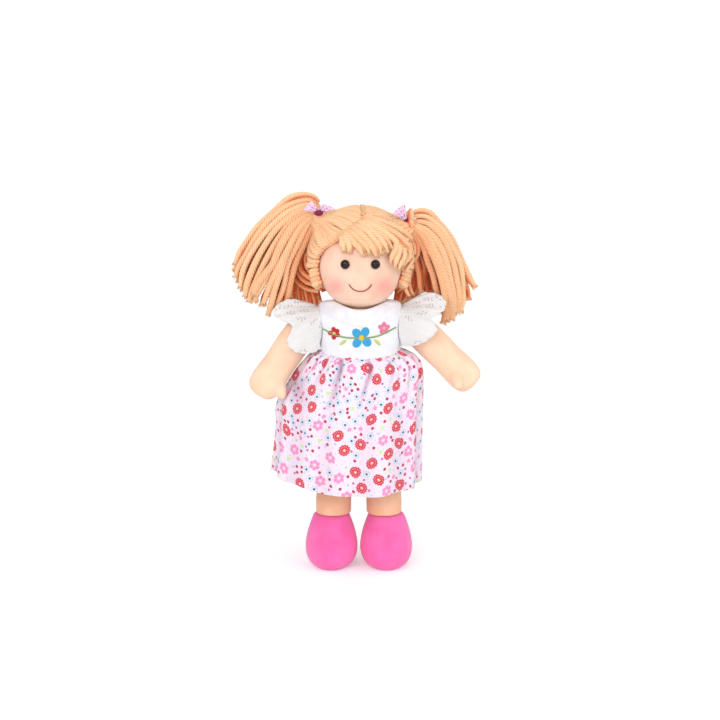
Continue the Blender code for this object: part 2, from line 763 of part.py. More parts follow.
def make_legs():
    """Stuffed legs, pinched flat where they are sewn into the body's bottom seam."""
    length = hip_height - leg_bottom
    for side, sign in sides_of_doll:
        sections = []
        for share, width_share, depth_share in zip(leg_length_shares, leg_width_shares, leg_depth_shares):
            drawn_in = max(0.0, share - leg_straight_share) / (1 - leg_straight_share)
            spacing = leg_spacing + (leg_top_spacing - leg_spacing) * drawn_in
            centre = (leg_shift + sign * spacing, 0, leg_bottom + share * length)
            size = (width_share * leg_half_width, depth_share * leg_half_depth)
            sections.append(round_section(centre, (1, 0, 0), (0, 1, 0), *size))
        name = f"leg_{side}"
        add_piece(name, loft(name, sections), "skin_cotton", hip_joints[side])


def make_shoes():
    """Stuffed shoes: an egg with its toe pushed forward and its sole cut flat."""
    heights = np.linspace(0, 1, 13)
    wide = soft_curve(heights, shoe_height_shares, shoe_width_shares) * shoe_half_width
    deep = soft_curve(heights, shoe_height_shares, shoe_depth_shares) * shoe_half_depth
    toe = soft_curve(heights, shoe_height_shares, shoe_toe_shares) * shoe_toe_shift
    for side, sign in sides_of_doll:
        sections = []
        for height, half_width, half_depth, shift in zip(heights, wide, deep, toe):
            centre = (leg_shift + sign * shoe_spacing, -shift, height * shoe_height)
            sections.append(round_section(centre, (1, 0, 0), (0, 1, 0), half_width, half_depth))
        name = f"shoe_{side}"
        add_piece(name, loft(name, sections), "shoe_cotton", hip_joints[side])


def seam_height(angle):
    """Height of the seam between yoke and skirt: lower in front and at the back than at the sides."""
    drop = bodice_side_drop + (bodice_front_drop - bodice_side_drop) * np.sin(angle) ** 2
    return body_top - drop


def make_bodice():
    """The yoke: a thin shell over the upper body, cut open for the neck, the arms and the back closure."""
    angles = np.linspace(0, 2 * math.pi, body_sides, endpoint=False)
    rows = []
    for t in np.linspace(0, 1, 8):
        row = []
        for index, angle in enumerate(angles):
            z = seam_height(angle) * (1 - t) + body_top * t
            wide, deep = body_size(z)
            size = (wide + cloth_gap, deep + cloth_gap)
            ring = round_section((0, 0, z), (1, 0, 0), (0, 1, 0), *size, body_sides, body_squareness)
            row.append(ring[index])
        rows.append(row)
    mesh = sheet_mesh("bodice", np.array(rows), True)
    form = bmesh.new()
    form.from_mesh(mesh)
    form.verts.ensure_lookup_table()
    form.faces.new([form.verts[len(form.verts) - body_sides + i] for i in range(body_sides)])
    bmesh.ops.translate(form, vec=(0, 0, cloth_gap), verts=form.verts[-body_sides:])
    bmesh.ops.recalc_face_normals(form, faces=form.faces)
    form.to_mesh(mesh)
    form.free()
    bodice = add_piece("bodice", mesh, "white_cotton", stand)
    give_wall(bodice, bodice_thickness, 1.0)
    slit_size = (back_slit_width, body_half_depth, body_height)
    slit_place = (0, slit_start + body_half_depth / 2, body_top)
    slit = box("back_slit", slit_size, Matrix.Translation(slit_place))
    combine(bodice, add_cutter("back_slit", slit))
    top = body_top + cut_overrun
    hole_length = neck_hole_depth + cut_overrun
    place = Matrix.Translation((0, 0, top - hole_length / 2))
    hole = cylinder("neck_hole", neck_hole_half_width, neck_hole_half_depth, hole_length, place, 36)
    combine(bodice, add_cutter("neck_hole", hole))
    for side, sign in sides_of_doll:
        name = f"armhole_{side}"
        combine(bodice, arm_hole_cutter(name, sign, arm_root_radius + swing_gap, armhole_reach))
    return bodice


def make_neck_binding():
    """Rolled binding that lies on the body just inside the neck hole."""
    inset = seat_gap + binding_radius
    angles = np.linspace(0, 2 * math.pi, 36, endpoint=False)
    curve = bpy.data.curves.new("neck_binding", "CURVE")
    curve.dimensions = "3D"
    curve.bevel_depth = binding_radius
    curve.bevel_resolution = 2
    spline = curve.splines.new("POLY")
    spline.points.add(len(angles) - 1)
    for point, angle in zip(spline.points, angles):
        x = (neck_hole_half_width - inset) * math.cos(angle)
        y = (neck_hole_half_depth - inset) * math.sin(angle)
        z = height_on_body(x, y, cloth_gap) + cloth_gap + binding_radius + binding_lift
        point.co = (x, y, z, 1)
    spline.use_cyclic_u = True
    binding = bpy.data.objects.new("neck_binding", curve)
    binding.parent = stand
    binding.data.materials.append(materials["white_cotton"])
    groups["rag_doll"].objects.link(binding)
    return binding


def make_closure():
    """Two tapes over the back slit, one on the other: the two halves of the closure when it is shut."""
    top = seam_height(math.pi / 2) + closure_length
    lift = cloth_gap + bodice_thickness + seat_gap
    for name in ("closure_loop_strip", "closure_hook_strip"):
        rows = []
        for z in np.linspace(top - closure_length, top, 6):
            wide, deep = body_size(z)
            row = []
            for x in np.linspace(-closure_width / 2, closure_width / 2, 5):
                share = (abs(x) / (wide + lift)) ** body_squareness
                row.append((x, (deep + lift) * (1 - share) ** (1 / body_squareness), z))
            rows.append(row)
        strip = add_piece(name, sheet_mesh(name, np.array(rows), False), "closure_tape", stand)
        give_wall(strip, closure_thickness, -1.0)
        lift += closure_thickness + seat_gap


def make_frills():
    """Gathered sleeve frills: a flared, waved strip from the armhole that follows the arm it covers."""
    bends = {"left": arm_left_bend_degrees, "right": arm_right_bend_degrees}
    angles = np.radians(np.linspace(frill_start_degrees, frill_end_degrees, frill_sides))
    height_share = np.sin(angles)
    end_share = np.sin(np.linspace(0, math.pi, frill_sides)) ** 0.45
    top_share = np.clip(height_share, 0, 1) ** 1.5
    wave = np.cos(np.linspace(0, 2 * math.pi * frill_wave_count, frill_sides))
    lift = cloth_gap + bodice_thickness + seat_gap + frill_thickness / 2
    for side, sign in sides_of_doll:
        base = []
        for angle in angles:
            y = -frill_base_radius * math.cos(angle)
            z = shoulder_height + frill_base_radius * math.sin(angle)
            reach = max(side_of_body(y, z, lift), frill_base_reach)
            base.append((sign * reach, y, z))
        base = np.array(base)
        width = frill_width * end_share
        centres, directions, normals = arm_line(sign, bends[side], arm_root_length + width)
        flare = frill_side_flare + (frill_top_flare - frill_side_flare) * top_share
        radius = frill_base_radius + flare * end_share + frill_wave_height * wave
        upright = frill_upright_share * top_share[:, None]
        rising = normals * (1 - upright) + np.array([(0, 0, 1)]) * upright
        rising /= np.linalg.norm(rising, axis=1)[:, None]
        outward = rising * height_share[:, None]
        outward[:, 1] -= np.cos(angles)
        edge = centres + outward * radius[:, None]
        edge[:, 1] -= frill_forward * top_share
        rows = [base + (edge - base) * t for t in np.linspace(0, 1, frill_rows + 1)]
        name = f"sleeve_frill_{side}"
        frill = add_piece(name, sheet_mesh(name, np.array(rows), False), "eyelet_cotton", stand)
        give_wall(frill, frill_thickness, 0.0)


def make_skirt():
    """The gathered skirt: a tube that flares below the yoke and sways to the doll's right."""
    angles = np.linspace(0, 2 * math.pi, skirt_sides, endpoint=False)
    top_gap = cloth_gap + bodice_thickness / 2
    top = seam_height(angles) - seat_gap - skirt_thickness / 4
    hem = skirt_hem_height - skirt_hem_front_dip * np.sin(angles) ** 2
    hem = hem - skirt_hem_side_lift * np.cos(angles)
    rows = []
    for index, drop_share in enumerate(skirt_drop_shares):
        z = top + (hem - top) * drop_share
        body_wide, body_deep = body_size(top)
        start_wide = body_wide + top_gap
        start_deep = body_deep + top_gap
        wide = start_wide + (skirt_half_width - start_wide) * skirt_width_shares[index]
        deep = start_deep + (skirt_half_depth - start_deep) * skirt_depth_shares[index]
        squareness = body_squareness + (2.0 - body_squareness) * min(1.0, drop_share * 4)
        u = np.sign(np.cos(angles)) * np.abs(np.cos(angles)) ** (2 / squareness)
        v = np.sign(np.sin(angles)) * np.abs(np.sin(angles)) ** (2 / squareness)
        fold = gather_height * gather_shares[index] * np.cos(gather_count * angles)
        x = u * (wide + fold) - skirt_sway * skirt_sway_shares[index]
        y = v * (deep + fold)
        rows.append(np.stack([x, y, z], 1))
    skirt = add_piece("skirt", sheet_mesh("skirt", np.array(rows), True), "printed_cotton", stand)
    give_wall(skirt, skirt_thickness, 0.0)


sides_of_doll = (("left", 1), ("right", -1))

clear_scene()
groups = make_collections()
materials = {name: make_material(name) for name in colours}
stand = make_empty("stand", (stand_shift_x, stand_shift_y, 0), None)
neck_joint = make_empty("neck_joint", (0, 0, neck_top), stand)
shoulder_joints = {
    side: make_empty(f"shoulder_{side}_joint", (sign * arm_seat_width, 0, shoulder_height), stand)
    for side, sign in sides_of_doll
}
hip_joints = {
    side: make_empty(f"hip_{side}_joint", (leg_shift + sign * leg_top_spacing, 0, hip_height), stand)
    for side, sign in sides_of_doll
}
make_torso()
make_head()
make_eyes()
make_hair_cap()
make_fringe()
make_bunches()
make_arms()
make_legs()
make_shoes()
make_bodice()
make_neck_binding()
make_closure()
make_frills()
make_skirt()
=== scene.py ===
# %% [markdown]
# # Dressing a rag doll
#
# The real doll is about 28 cm tall: a stuffed cotton body, a ball head with yarn hair in two bunches, pink stuffed
# shoes and a small cotton dress. Its solid model comes from model.glb, and this lesson covers each solid with a piece
# that looks like the real cloth, thread or yarn. Each shape is a surface that numpy works out on a grid of points.

# %% Load the model and put each part's place into its mesh
import math

import bmesh
import bpy
import numpy as np
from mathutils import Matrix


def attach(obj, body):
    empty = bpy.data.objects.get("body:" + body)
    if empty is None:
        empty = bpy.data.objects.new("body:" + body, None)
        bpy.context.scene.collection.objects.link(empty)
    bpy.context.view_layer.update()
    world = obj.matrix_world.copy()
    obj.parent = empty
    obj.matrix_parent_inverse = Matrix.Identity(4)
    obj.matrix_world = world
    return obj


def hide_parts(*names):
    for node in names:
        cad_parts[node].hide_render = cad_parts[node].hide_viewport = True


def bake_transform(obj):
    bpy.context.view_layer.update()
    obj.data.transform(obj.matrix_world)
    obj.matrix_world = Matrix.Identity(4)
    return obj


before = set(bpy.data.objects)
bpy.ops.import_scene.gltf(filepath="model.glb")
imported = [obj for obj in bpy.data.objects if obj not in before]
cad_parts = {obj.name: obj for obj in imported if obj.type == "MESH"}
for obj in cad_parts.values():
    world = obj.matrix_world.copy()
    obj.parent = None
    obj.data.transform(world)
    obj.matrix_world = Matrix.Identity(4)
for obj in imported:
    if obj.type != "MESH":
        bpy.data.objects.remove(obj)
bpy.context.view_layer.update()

mm = 0.001
full_turn = 2 * np.pi
middle_x = 3.6 * mm
doll_sides = {"left": 1, "right": -1}

# %% [markdown]
# ## The camera
# The photograph is taken from the height of the doll's hair, about a metre away, looking slightly down. A camera
# could be aimed with a constraint, but two numbers and an angle are easier to check against the photograph.

# %% Camera
camera_data = bpy.data.cameras.new("photo_camera")
camera_data.sensor_width = 36
camera_data.lens = 66.55
camera = bpy.data.objects.new("photo_camera", camera_data)
camera.location = (middle_x - 0.2 * mm, -0.985, 0.314)
camera.rotation_euler = (math.radians(90 - 9.07), 0, 0)
bpy.context.scene.collection.objects.link(camera)
bpy.context.scene.camera = camera
print("camera at", tuple(camera.location))

# %% [markdown]
# ## Tools for shapes
# A grid of points becomes a mesh when neighbouring points are joined by four-cornered faces. One way is Blender's
# own primitives and sculpting, but a formula on a grid repeats exactly and keeps a flat map of the cloth for its
# pattern, so every sheet and strand here is made with the same few functions.

# %% Curves and grids
def soft_curve(t, known_t, known):
    """Cubic through known points; the slope at each point is the mean slope towards its two neighbours."""
    known_t, known, t = np.asarray(known_t, float), np.asarray(known, float), np.asarray(t, float)
    slopes = np.gradient(known, known_t, axis=0)
    i = np.clip(np.searchsorted(known_t, t) - 1, 0, len(known_t) - 2)
    gap = known_t[i + 1] - known_t[i]
    extra = (1,) * (known.ndim - 1)
    s = ((t - known_t[i]) / gap).reshape(t.shape + extra)
    gap = gap.reshape(t.shape + extra)
    start = (2 * s**3 - 3 * s**2 + 1) * known[i] + (s**3 - 2 * s**2 + s) * slopes[i] * gap
    end = (3 * s**2 - 2 * s**3) * known[i + 1] + (s**3 - s**2) * slopes[i + 1] * gap
    return start + end


def soft_step(x, low, high):
    """0 below low, 1 above high, and 3s^2 - 2s^3 between, where s is how far x is from low to high."""
    s = np.clip((np.asarray(x, float) - low) / (high - low), 0, 1)
    return s * s * (3 - 2 * s)


def bump_at(x, place, wide):
    """1 at a place and less away from it: e to the power -((x - place) / wide)^2."""
    return np.exp(-(((x - place) / wide) ** 2))


def unit(vectors):
    """Each vector divided by its own length."""
    vectors = np.asarray(vectors, float)
    return vectors / np.maximum(np.linalg.norm(vectors, axis=-1, keepdims=True), 1e-12)


def lengths(points):
    """How far along its way each point lies. The way runs down the first direction of the points."""
    steps = np.linalg.norm(np.diff(points, axis=0), axis=-1)
    return np.concatenate([np.zeros_like(steps[:1]), steps.cumsum(0)])


def spaced(points, steps=None, gap=None, fine_steps=800):
    """A smooth curve through known points in equal steps: so many of them, or as many as the gap gives."""
    points = np.array(points, float)
    t = lengths(points)
    fine = soft_curve(np.linspace(0, t[-1], fine_steps), t, points)
    length = lengths(fine)
    places = np.linspace(0, length[-1], steps or int(length[-1] / gap) + 1)
    return np.stack([np.interp(places, length, fine[:, k]) for k in range(points.shape[1])], 1)


def grid_faces(rows, columns, rings=False):
    """Corner numbers of a grid's faces, and each corner's row and column; rings join the last column to the first."""
    r, c = np.meshgrid(np.arange(rows - 1), np.arange(columns if rings else columns - 1), indexing="ij")
    r, c = r.ravel(), c.ravel()
    corner_rows = np.stack([r, r, r + 1, r + 1], 1)
    corner_columns = np.stack([c, c + 1, c + 1, c], 1)
    return corner_rows * columns + corner_columns % columns, corner_rows, corner_columns


def grid_normals(grid):
    """The direction at right angles to a grid: the cross product of its two directions."""
    return unit(np.cross(np.gradient(grid, axis=1), np.gradient(grid, axis=0)))


def full_circle(count):
    """Angles once round, without the last, which is the first again."""
    return np.linspace(0, full_turn, count, endpoint=False)


def spokes(angles, first, second):
    """Directions at some angles in the plane of two directions: cos a times one plus sin a times the other."""
    return np.cos(angles)[..., None] * first + np.sin(angles)[..., None] * second


print("half way along a step:", soft_step(0.5, 0, 1))


# %% Meshes from points
def mend(mesh, merge=0.0, outwards=False, over=None):
    """Merges points closer than merge, turns faces outwards, or turns them all over if over(faces) says so."""
    shell = bmesh.new()
    shell.from_mesh(mesh)
    if merge:
        bmesh.ops.remove_doubles(shell, verts=shell.verts, dist=merge)
    if outwards:
        bmesh.ops.recalc_face_normals(shell, faces=shell.faces)
    if over:
        shell.normal_update()
        shell.faces.ensure_lookup_table()
        if over(shell.faces):
            bmesh.ops.reverse_faces(shell, faces=shell.faces)
    shell.to_mesh(mesh)
    shell.free()


def add_mark(mesh, mark, values):
    """Keeps one value per point under a name that a material can read."""
    layer = mesh.attributes.new(mark, "FLOAT", "POINT")
    layer.data.foreach_set("value", np.asarray(values, float).ravel())


def make_smooth(mesh):
    """Shades every face smooth."""
    mesh.polygons.foreach_set("use_smooth", np.ones(len(mesh.polygons), bool))


def new_piece(name, points, faces, material, corner_map=None, marks=None, closed=False):
    """A smooth mesh in the doll's own frame, moved to where the doll stands. marks are values kept per point."""
    mesh = bpy.data.meshes.new(name)
    points = np.array(points, float).reshape(-1, 3) + (middle_x, 0, 0)
    mesh.from_pydata(points.tolist(), [], [list(face) for face in faces])
    if corner_map is not None:
        layer = mesh.uv_layers.new(name="cloth_map")
        layer.data.foreach_set("uv", np.asarray(corner_map, float).ravel())
    for mark, values in (marks or {}).items():
        add_mark(mesh, mark, values)
    if closed:
        mend(mesh, outwards=True)
    make_smooth(mesh)
    mesh.update()
    piece = bpy.data.objects.new(name, mesh)
    piece.data.materials.append(material)
    bpy.context.scene.collection.objects.link(piece)
    return piece


def thicken(piece, thickness, offset=0):
    """Gives a sheet its thickness, to both sides of its surface or, with an offset of -1, to its inside."""
    wall = piece.modifiers.new("cloth thickness", "SOLIDIFY")
    wall.thickness = thickness
    wall.offset = offset


def cloth_piece(name, grid, cloth_map, material, thickness, turned=False):
    """A sheet through a grid of points, with its flat map and its thickness."""
    faces, corner_rows, corner_columns = grid_faces(*grid.shape[:2])
    corner_map = cloth_map[corner_rows, corner_columns]
    if turned:
        faces, corner_map = faces[:, ::-1], corner_map[:, ::-1]
    piece = new_piece(name, grid, faces, material, corner_map)
    thicken(piece, thickness)
    return piece


def belongs(piece, body, node=None):
    """Hangs a piece on the empty of the body it rides on, and hides the solid it stands for, if one is given."""
    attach(piece, body)
    if node:
        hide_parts(node)


# %% [markdown]
# ## Tools for yarn and thread
# Yarn is a few plies twisted round each other. Curves with a bevel would give smooth pipes, so each strand here is
# a path with a ring of points round it. The rings turn along the path, and each ring bulges once for every ply.

# %% Strands
# Painted shade: how much is added on the sides of a strand that face inwards, and how much on its two end caps.
inward_shade_share = 0.75
tip_painted_shade = 0.2
tip_overhang = 0.5


def strand_mesh(name, paths, radii, guides, material, sides=12, plies=3, turn=9 * mm, depth=None, seed=1, lobe=0.24,
                outward=None):
    """Strands along paths (strand, step, xyz). A ring's radius is r(1 - lobe(1 - |cos(plies a / 2)|)) at angle a,
    and each ring is turned by 2 pi times the length so far over the length of one turn. depth is painted shade along
    each strand. Where outward is given, the sides that face away from it get more painted shade, by the dot product of
    the two directions. Both go into the inner mark."""
    rng = np.random.default_rng(seed)
    strands, steps = paths.shape[:2]
    along = unit(np.gradient(paths, axis=1))
    side = unit(guides - (guides * along).sum(-1, keepdims=True) * along)
    up = np.cross(along, side)
    length = lengths(paths.swapaxes(0, 1)).T
    angle = full_circle(sides)
    ply = np.abs(np.cos(plies * angle / 2))
    twist = full_turn * length / turn + rng.uniform(0, full_turn, (strands, 1))
    a = angle + twist[:, :, None]
    r = radii[:, :, None] * (1 - lobe * (1 - ply))
    points = (paths[:, :, None] + r[..., None] * spokes(a, side[:, :, None], up[:, :, None])).reshape(-1, 3)
    first_tips = paths[:, 0] - along[:, 0] * radii[:, :1] * tip_overhang
    last_tips = paths[:, -1] + along[:, -1] * radii[:, -1:] * tip_overhang

    faces, corner_rows, corner_columns = grid_faces(steps, sides, True)
    each = steps * sides
    number, ring = np.arange(strands)[:, None], np.arange(sides)
    quads = (faces[None] + number[..., None] * each).reshape(-1, 4)
    fans = []
    for row, tips in ((0, strands * each), (steps - 1, strands * (each + 1))):
        here = number * each + row * sides + ring
        after = number * each + row * sides + (ring + 1) % sides
        tip = np.broadcast_to(tips + number, here.shape)
        fans.append(np.stack([here, after, tip] if row else [after, here, tip], -1).reshape(-1, 3))

    # The inner mark is painted shade for the yarn's deep colour: depth along each strand, and more on its inward sides.
    inner = np.zeros(strands * each) if depth is None else np.repeat(depth.reshape(-1), sides)
    if outward is not None:
        across, along_up = (side * outward).sum(-1), (up * outward).sum(-1)
        facing = np.cos(a) * across[..., None] + np.sin(a) * along_up[..., None]
        inner = np.clip(inner + inward_shade_share * soft_step(-facing, -0.45, 0.6).reshape(-1), 0, 1)
    shade = np.repeat(rng.uniform(0, 1, strands), each)
    marks = {
        "groove": np.concatenate([np.tile(1 - ply, strands * steps), np.zeros(2 * strands)]),
        "strand": np.concatenate([shade, np.tile(rng.uniform(0, 1, strands), 2)]),
        "inner": np.concatenate([inner, np.full(2 * strands, tip_painted_shade)]),
    }
    u = length[:, corner_rows]
    v = np.broadcast_to(corner_columns / sides, u.shape)
    corner_map = np.concatenate([np.stack([u, v], -1).reshape(-1, 2), np.zeros((len(fans[0]) * 6, 2))])
    all_faces = quads.tolist() + fans[0].tolist() + fans[1].tolist()
    all_points = np.concatenate([points, first_tips, last_tips])
    return new_piece(name, all_points, all_faces, material, corner_map, marks, closed=True)


def single_strand(name, path, radius, toward, material, sides, plies, turn):
    """One strand of an even thickness along a path, such as a line of stitches."""
    return strand_mesh(name, path[None], np.full((1, len(path)), radius), toward[None], material, sides, plies, turn)


def wander(strands, steps, size, seed):
    """Smooth small wanderings (strand, step, xyz): sums of three slow sines with random starts."""
    rng = np.random.default_rng(seed)
    t = np.linspace(0, 1, steps)[None, :, None]
    total = np.zeros((strands, steps, 3))
    for k in range(1, 4):
        phase = rng.uniform(0, full_turn, (strands, 1, 3))
        total += np.sin(2.0 * k * np.pi * t + phase) / k
    return total * size


# %% [markdown]
# ## Tools for finishes
# A finish is a small graph of nodes. Cloth is dull, with a soft sheen from its loose fibres, and its weave or knit is
# far too fine to model, so it goes into a bump. The colours are written as they look on the screen, from 0 to 255,
# and changed to the linear values that the shader wants. Signals add and multiply like numbers, so a graph is written
# as a formula.

# %% Node tools
white = (1, 1, 1, 1)


def tone(red, green, blue):
    """A screen colour from 0 to 255 as linear light: ((c + 0.055) / 1.055) to the power 2.4, or c / 12.92 when dark."""
    c = np.array([red, green, blue]) / 255
    linear = np.where(c <= 0.04045, c / 12.92, ((c + 0.055) / 1.055) ** 2.4)
    return (*linear.tolist(), 1.0)


class Signal:
    """The output of a node. Arithmetic on it adds the node that does that arithmetic."""

    def __init__(self, graph, socket):
        self.graph, self.socket = graph, socket

    def math(self, operation, *values):
        return self.graph.node("Math", dict(enumerate((self, *values))), operation=operation)

    def __add__(self, other):
        return self.math("ADD", other)

    def __sub__(self, other):
        return self.math("SUBTRACT", other)

    def __rsub__(self, other):
        return self.graph.node("Math", {0: other, 1: self}, operation="SUBTRACT")

    def __mul__(self, other):
        return self.math("MULTIPLY", other)

    def __truediv__(self, other):
        return self.math("DIVIDE", other)

    def output(self, place):
        """Another output of the same node."""
        return Signal(self.graph, self.socket.node.outputs[place])

    def spread(self, low, high):
        """Stretches values between low and high to 0 and 1, and holds them there."""
        inputs = {0: self, 1: low, 2: high, 3: 0.0, 4: 1.0}
        return self.graph.node("MapRange", inputs, clamp=True, interpolation_type="SMOOTHSTEP")

    def between(self, low, high):
        """1 where this number lies between two limits."""
        return self.math("GREATER_THAN", low) * self.math("LESS_THAN", high)

    def mix(self, first, second):
        """The first colour where this number is 0 and the second where it is 1."""
        return self.graph.node("Mix", {0: self, 6: first, 7: second}, 2, data_type="RGBA", clamp_factor=True)

    def sine(self, pitch):
        """A sine wave along this length, a pitch from crest to crest."""
        return (self * (full_turn / pitch)).math("SINE")


class Finish:
    """A material with its main shader. Its graph begins at the piece's flat map or at its place."""

    def __init__(self, name, roughness, sheen=0.0, sheen_colour=white, specular=0.25, **more):
        self.material = bpy.data.materials.new(name)
        self.material.use_nodes = True
        self.tree = self.material.node_tree
        self.shader = self.tree.nodes["Principled BSDF"]
        plain = {"Roughness": roughness, "Specular IOR Level": specular, "Sheen Weight": sheen,
                 "Sheen Roughness": 0.55, "Sheen Tint": sheen_colour}
        plain.update({place.replace("_", " "): value for place, value in more.items()})
        self.feed(self.shader, plain)

    def feed(self, node, inputs):
        """Fills a node's inputs with plain values or with signals."""
        for place, value in inputs.items():
            if isinstance(value, Signal):
                self.tree.links.new(value.socket, node.inputs[place])
            else:
                node.inputs[place].default_value = value

    def node(self, kind, inputs=None, output=0, **options):
        """Adds a node with its inputs and options, and returns one of its outputs."""
        node = self.tree.nodes.new("ShaderNode" + kind)
        for option, value in options.items():
            setattr(node, option, value)
        self.feed(node, inputs or {})
        return Signal(self, node.outputs[output])

    def place(self):
        """Where a point is, in the piece's own frame."""
        return self.node("TexCoord", output=3)

    def mark(self, name):
        """The value kept per point under a name."""
        return self.node("Attribute", output=2, attribute_name=name)

    def cloth_map(self, wide=1.0, tall=1.0):
        """The piece's own flat map, stretched by two scales."""
        return self.mapped(self.node("UVMap", uv_map="cloth_map"), (wide, tall, 1.0))

    def mapped(self, place, scale=(1, 1, 1), turn=0.0):
        """A place stretched by three scales and turned by an angle."""
        return self.node("Mapping", {0: place, 2: (0, 0, turn), 3: scale})

    def noise(self, place, scale, detail=2.0):
        """Cloudy values round 0.5."""
        return self.node("TexNoise", {"Vector": place, "Scale": scale, "Detail": detail})

    def axis(self, place, number):
        """One of the three numbers of a place."""
        return self.node("SeparateXYZ", {0: place}, number)

    def weave(self, place, pitch):
        """Over and under threads: the product of two sines, one across and one along, a pitch apart."""
        across = self.axis(place, 0)
        return across.sine(pitch) * across.output(1).sine(pitch)

    def done(self, colour, height=None, distance=0.0002, strength=0.6):
        """Joins a colour, and a height for its bump, to the shader, and returns the material."""
        self.feed(self.shader, {"Base Color": colour})
        if height:
            bump = self.node("Bump", {"Height": height, "Distance": distance, "Strength": strength})
            self.feed(self.shader, {"Normal": bump})
        return self.material


print("white as linear light:", tone(255, 255, 255))

# %% [markdown]
# ## Stuffed pieces
# The head, body, arms, legs and shoes are cotton bags stuffed with wool. A bag could be sculpted by hand, but the
# stuffing is what gives it its shape, so a fine skin is laid over a copy of the solid and Blender's cloth is blown up
# from inside for a moment. The skin may move only a fraction of a millimetre, which keeps each bag clear of its
# neighbours, and a subdivision then makes it smooth.

# %% Skin material
def skin_finish(name, colour, warm, rib_scale):
    """Knitted cotton: faint ribs along the limb, a cloudy warmth and a very fine stitch."""
    skin = Finish(name, 0.82, 0.25, (1.0, 0.9, 0.82, 1))
    place = skin.place()
    rib = skin.noise(skin.mapped(place, rib_scale), 1.0, 3.0)
    base = skin.noise(place, 55.0).spread(0.35, 0.7).mix(colour, warm)
    base = (rib.spread(0.5, 0.72) * 0.35).mix(base, warm)
    base = skin.mark("blush").mix(base, tone(248, 138, 142))
    return skin.done(base, rib * 0.8 + skin.noise(place, 2600.0, 1.0) * 0.5, 0.0003, 0.35)


head_skin = skin_finish("skin_knit_head", tone(249, 211, 187), tone(243, 197, 172), (420, 420, 26))
limb_skin = skin_finish("skin_knit_limbs", tone(254, 218, 188), tone(250, 207, 175), (300, 300, 60))
# The legs' knit is a darker, more orange copy of the limbs' knit: painted shade for the skirt's shadow on them.
shaded_leg_skin = skin_finish("skin_knit_legs", tone(250, 199, 164), tone(244, 184, 148), (300, 300, 60))


# %% Shoe material
def shoe_finish():
    """Brushed pink jersey: a soft sheen, a fine pile and slightly uneven dye."""
    shoe = Finish("pink_jersey", 0.85, 0.5, (1.0, 0.72, 0.86, 1))
    place = shoe.place()
    pile = shoe.noise(place, 1900.0, 3.0)
    base = shoe.noise(place, 70.0, 3.0).spread(0.3, 0.7).mix(tone(255, 112, 186), tone(252, 98, 172))
    return shoe.done((pile.spread(0.45, 0.75) * 0.3).mix(base, tone(255, 150, 204)), pile, 0.0003, 0.5)


shoe_jersey = shoe_finish()

# %% Blowing up a stuffed piece
blow_frames = 20
push = 4.0
skin_mass = 0.02


def bake_modifiers(piece):
    """Puts the result of the modifiers into the mesh and clears them."""
    shown = piece.evaluated_get(bpy.context.evaluated_depsgraph_get())
    done = bpy.data.meshes.new_from_object(shown)
    piece.modifiers.clear()
    piece.data = done


def mesh_points(mesh):
    """The mesh's points as an array."""
    points = np.empty(3 * len(mesh.vertices))
    mesh.vertices.foreach_get("co", points)
    return points.reshape(-1, 3)


def blow_up(skin, room):
    """Cloth with pressure and no gravity for some frames, then moves longer than room are cut to room."""
    before = mesh_points(skin.data)
    cloth = skin.modifiers.new("stuffing", "CLOTH")
    cloth.settings.use_pressure = True
    cloth.settings.uniform_pressure_force = push
    cloth.settings.mass = skin_mass
    cloth.settings.effector_weights.gravity = 0
    for number in range(1, blow_frames + 1):
        bpy.context.scene.frame_set(number)
    bake_modifiers(skin)
    bpy.context.scene.frame_set(1)
    move = mesh_points(skin.data) - before
    far = np.linalg.norm(move, axis=1, keepdims=True)
    move *= np.minimum(1, room / np.maximum(far, 1e-9))
    skin.data.vertices.foreach_set("co", (before + move).ravel())
    skin.data.update()
    print(skin.name, "swelled by up to", round(float(far.max()) / mm, 2), "mm, kept to", room / mm)


def stuffed(name, node, body, material, voxel, room, rounded=True):
    """A fine skin over a copy of a solid, swollen by cloth pressure. A point moves no further than room allows. One
    subdivision, the same in the viewport and the render, rounds it where it shows."""
    skin = bpy.data.objects.new(name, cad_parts[node].data.copy())
    bpy.context.scene.collection.objects.link(skin)
    mend(skin.data, merge=1e-6)
    even = skin.modifiers.new("even skin", "REMESH")
    even.mode = "VOXEL"
    even.voxel_size = voxel
    smooth = skin.modifiers.new("smooth skin", "SMOOTH")
    smooth.factor = 0.5
    smooth.iterations = 5
    bake_modifiers(skin)
    blow_up(skin, room)
    skin.data.materials.clear()
    skin.data.materials.append(material)
    make_smooth(skin.data)
    if rounded:
        fine = skin.modifiers.new("rounding", "SUBSURF")
        fine.levels = fine.render_levels = 1
    belongs(skin, body, node)
    print(name, "has", len(skin.data.polygons), "faces")
    return skin


# %% Head, with its blush
cheek_x, cheek_z, cheek_wide, cheek_strong = 17.4 * mm, 214.6 * mm, 5.9 * mm, 0.55
head = stuffed("head_ball", "head", "head", head_skin, 1.5 * mm, 0.35 * mm)
points = mesh_points(head.data) - (middle_x, 0, 0)
cheeks = np.zeros(len(points))
for sign in (-1, 1):
    away = np.hypot(points[:, 0] - sign * cheek_x, points[:, 2] - cheek_z)
    cheeks += cheek_strong * bump_at(away, 0, cheek_wide) * (points[:, 1] < 0)
add_mark(head.data, "blush", cheeks)

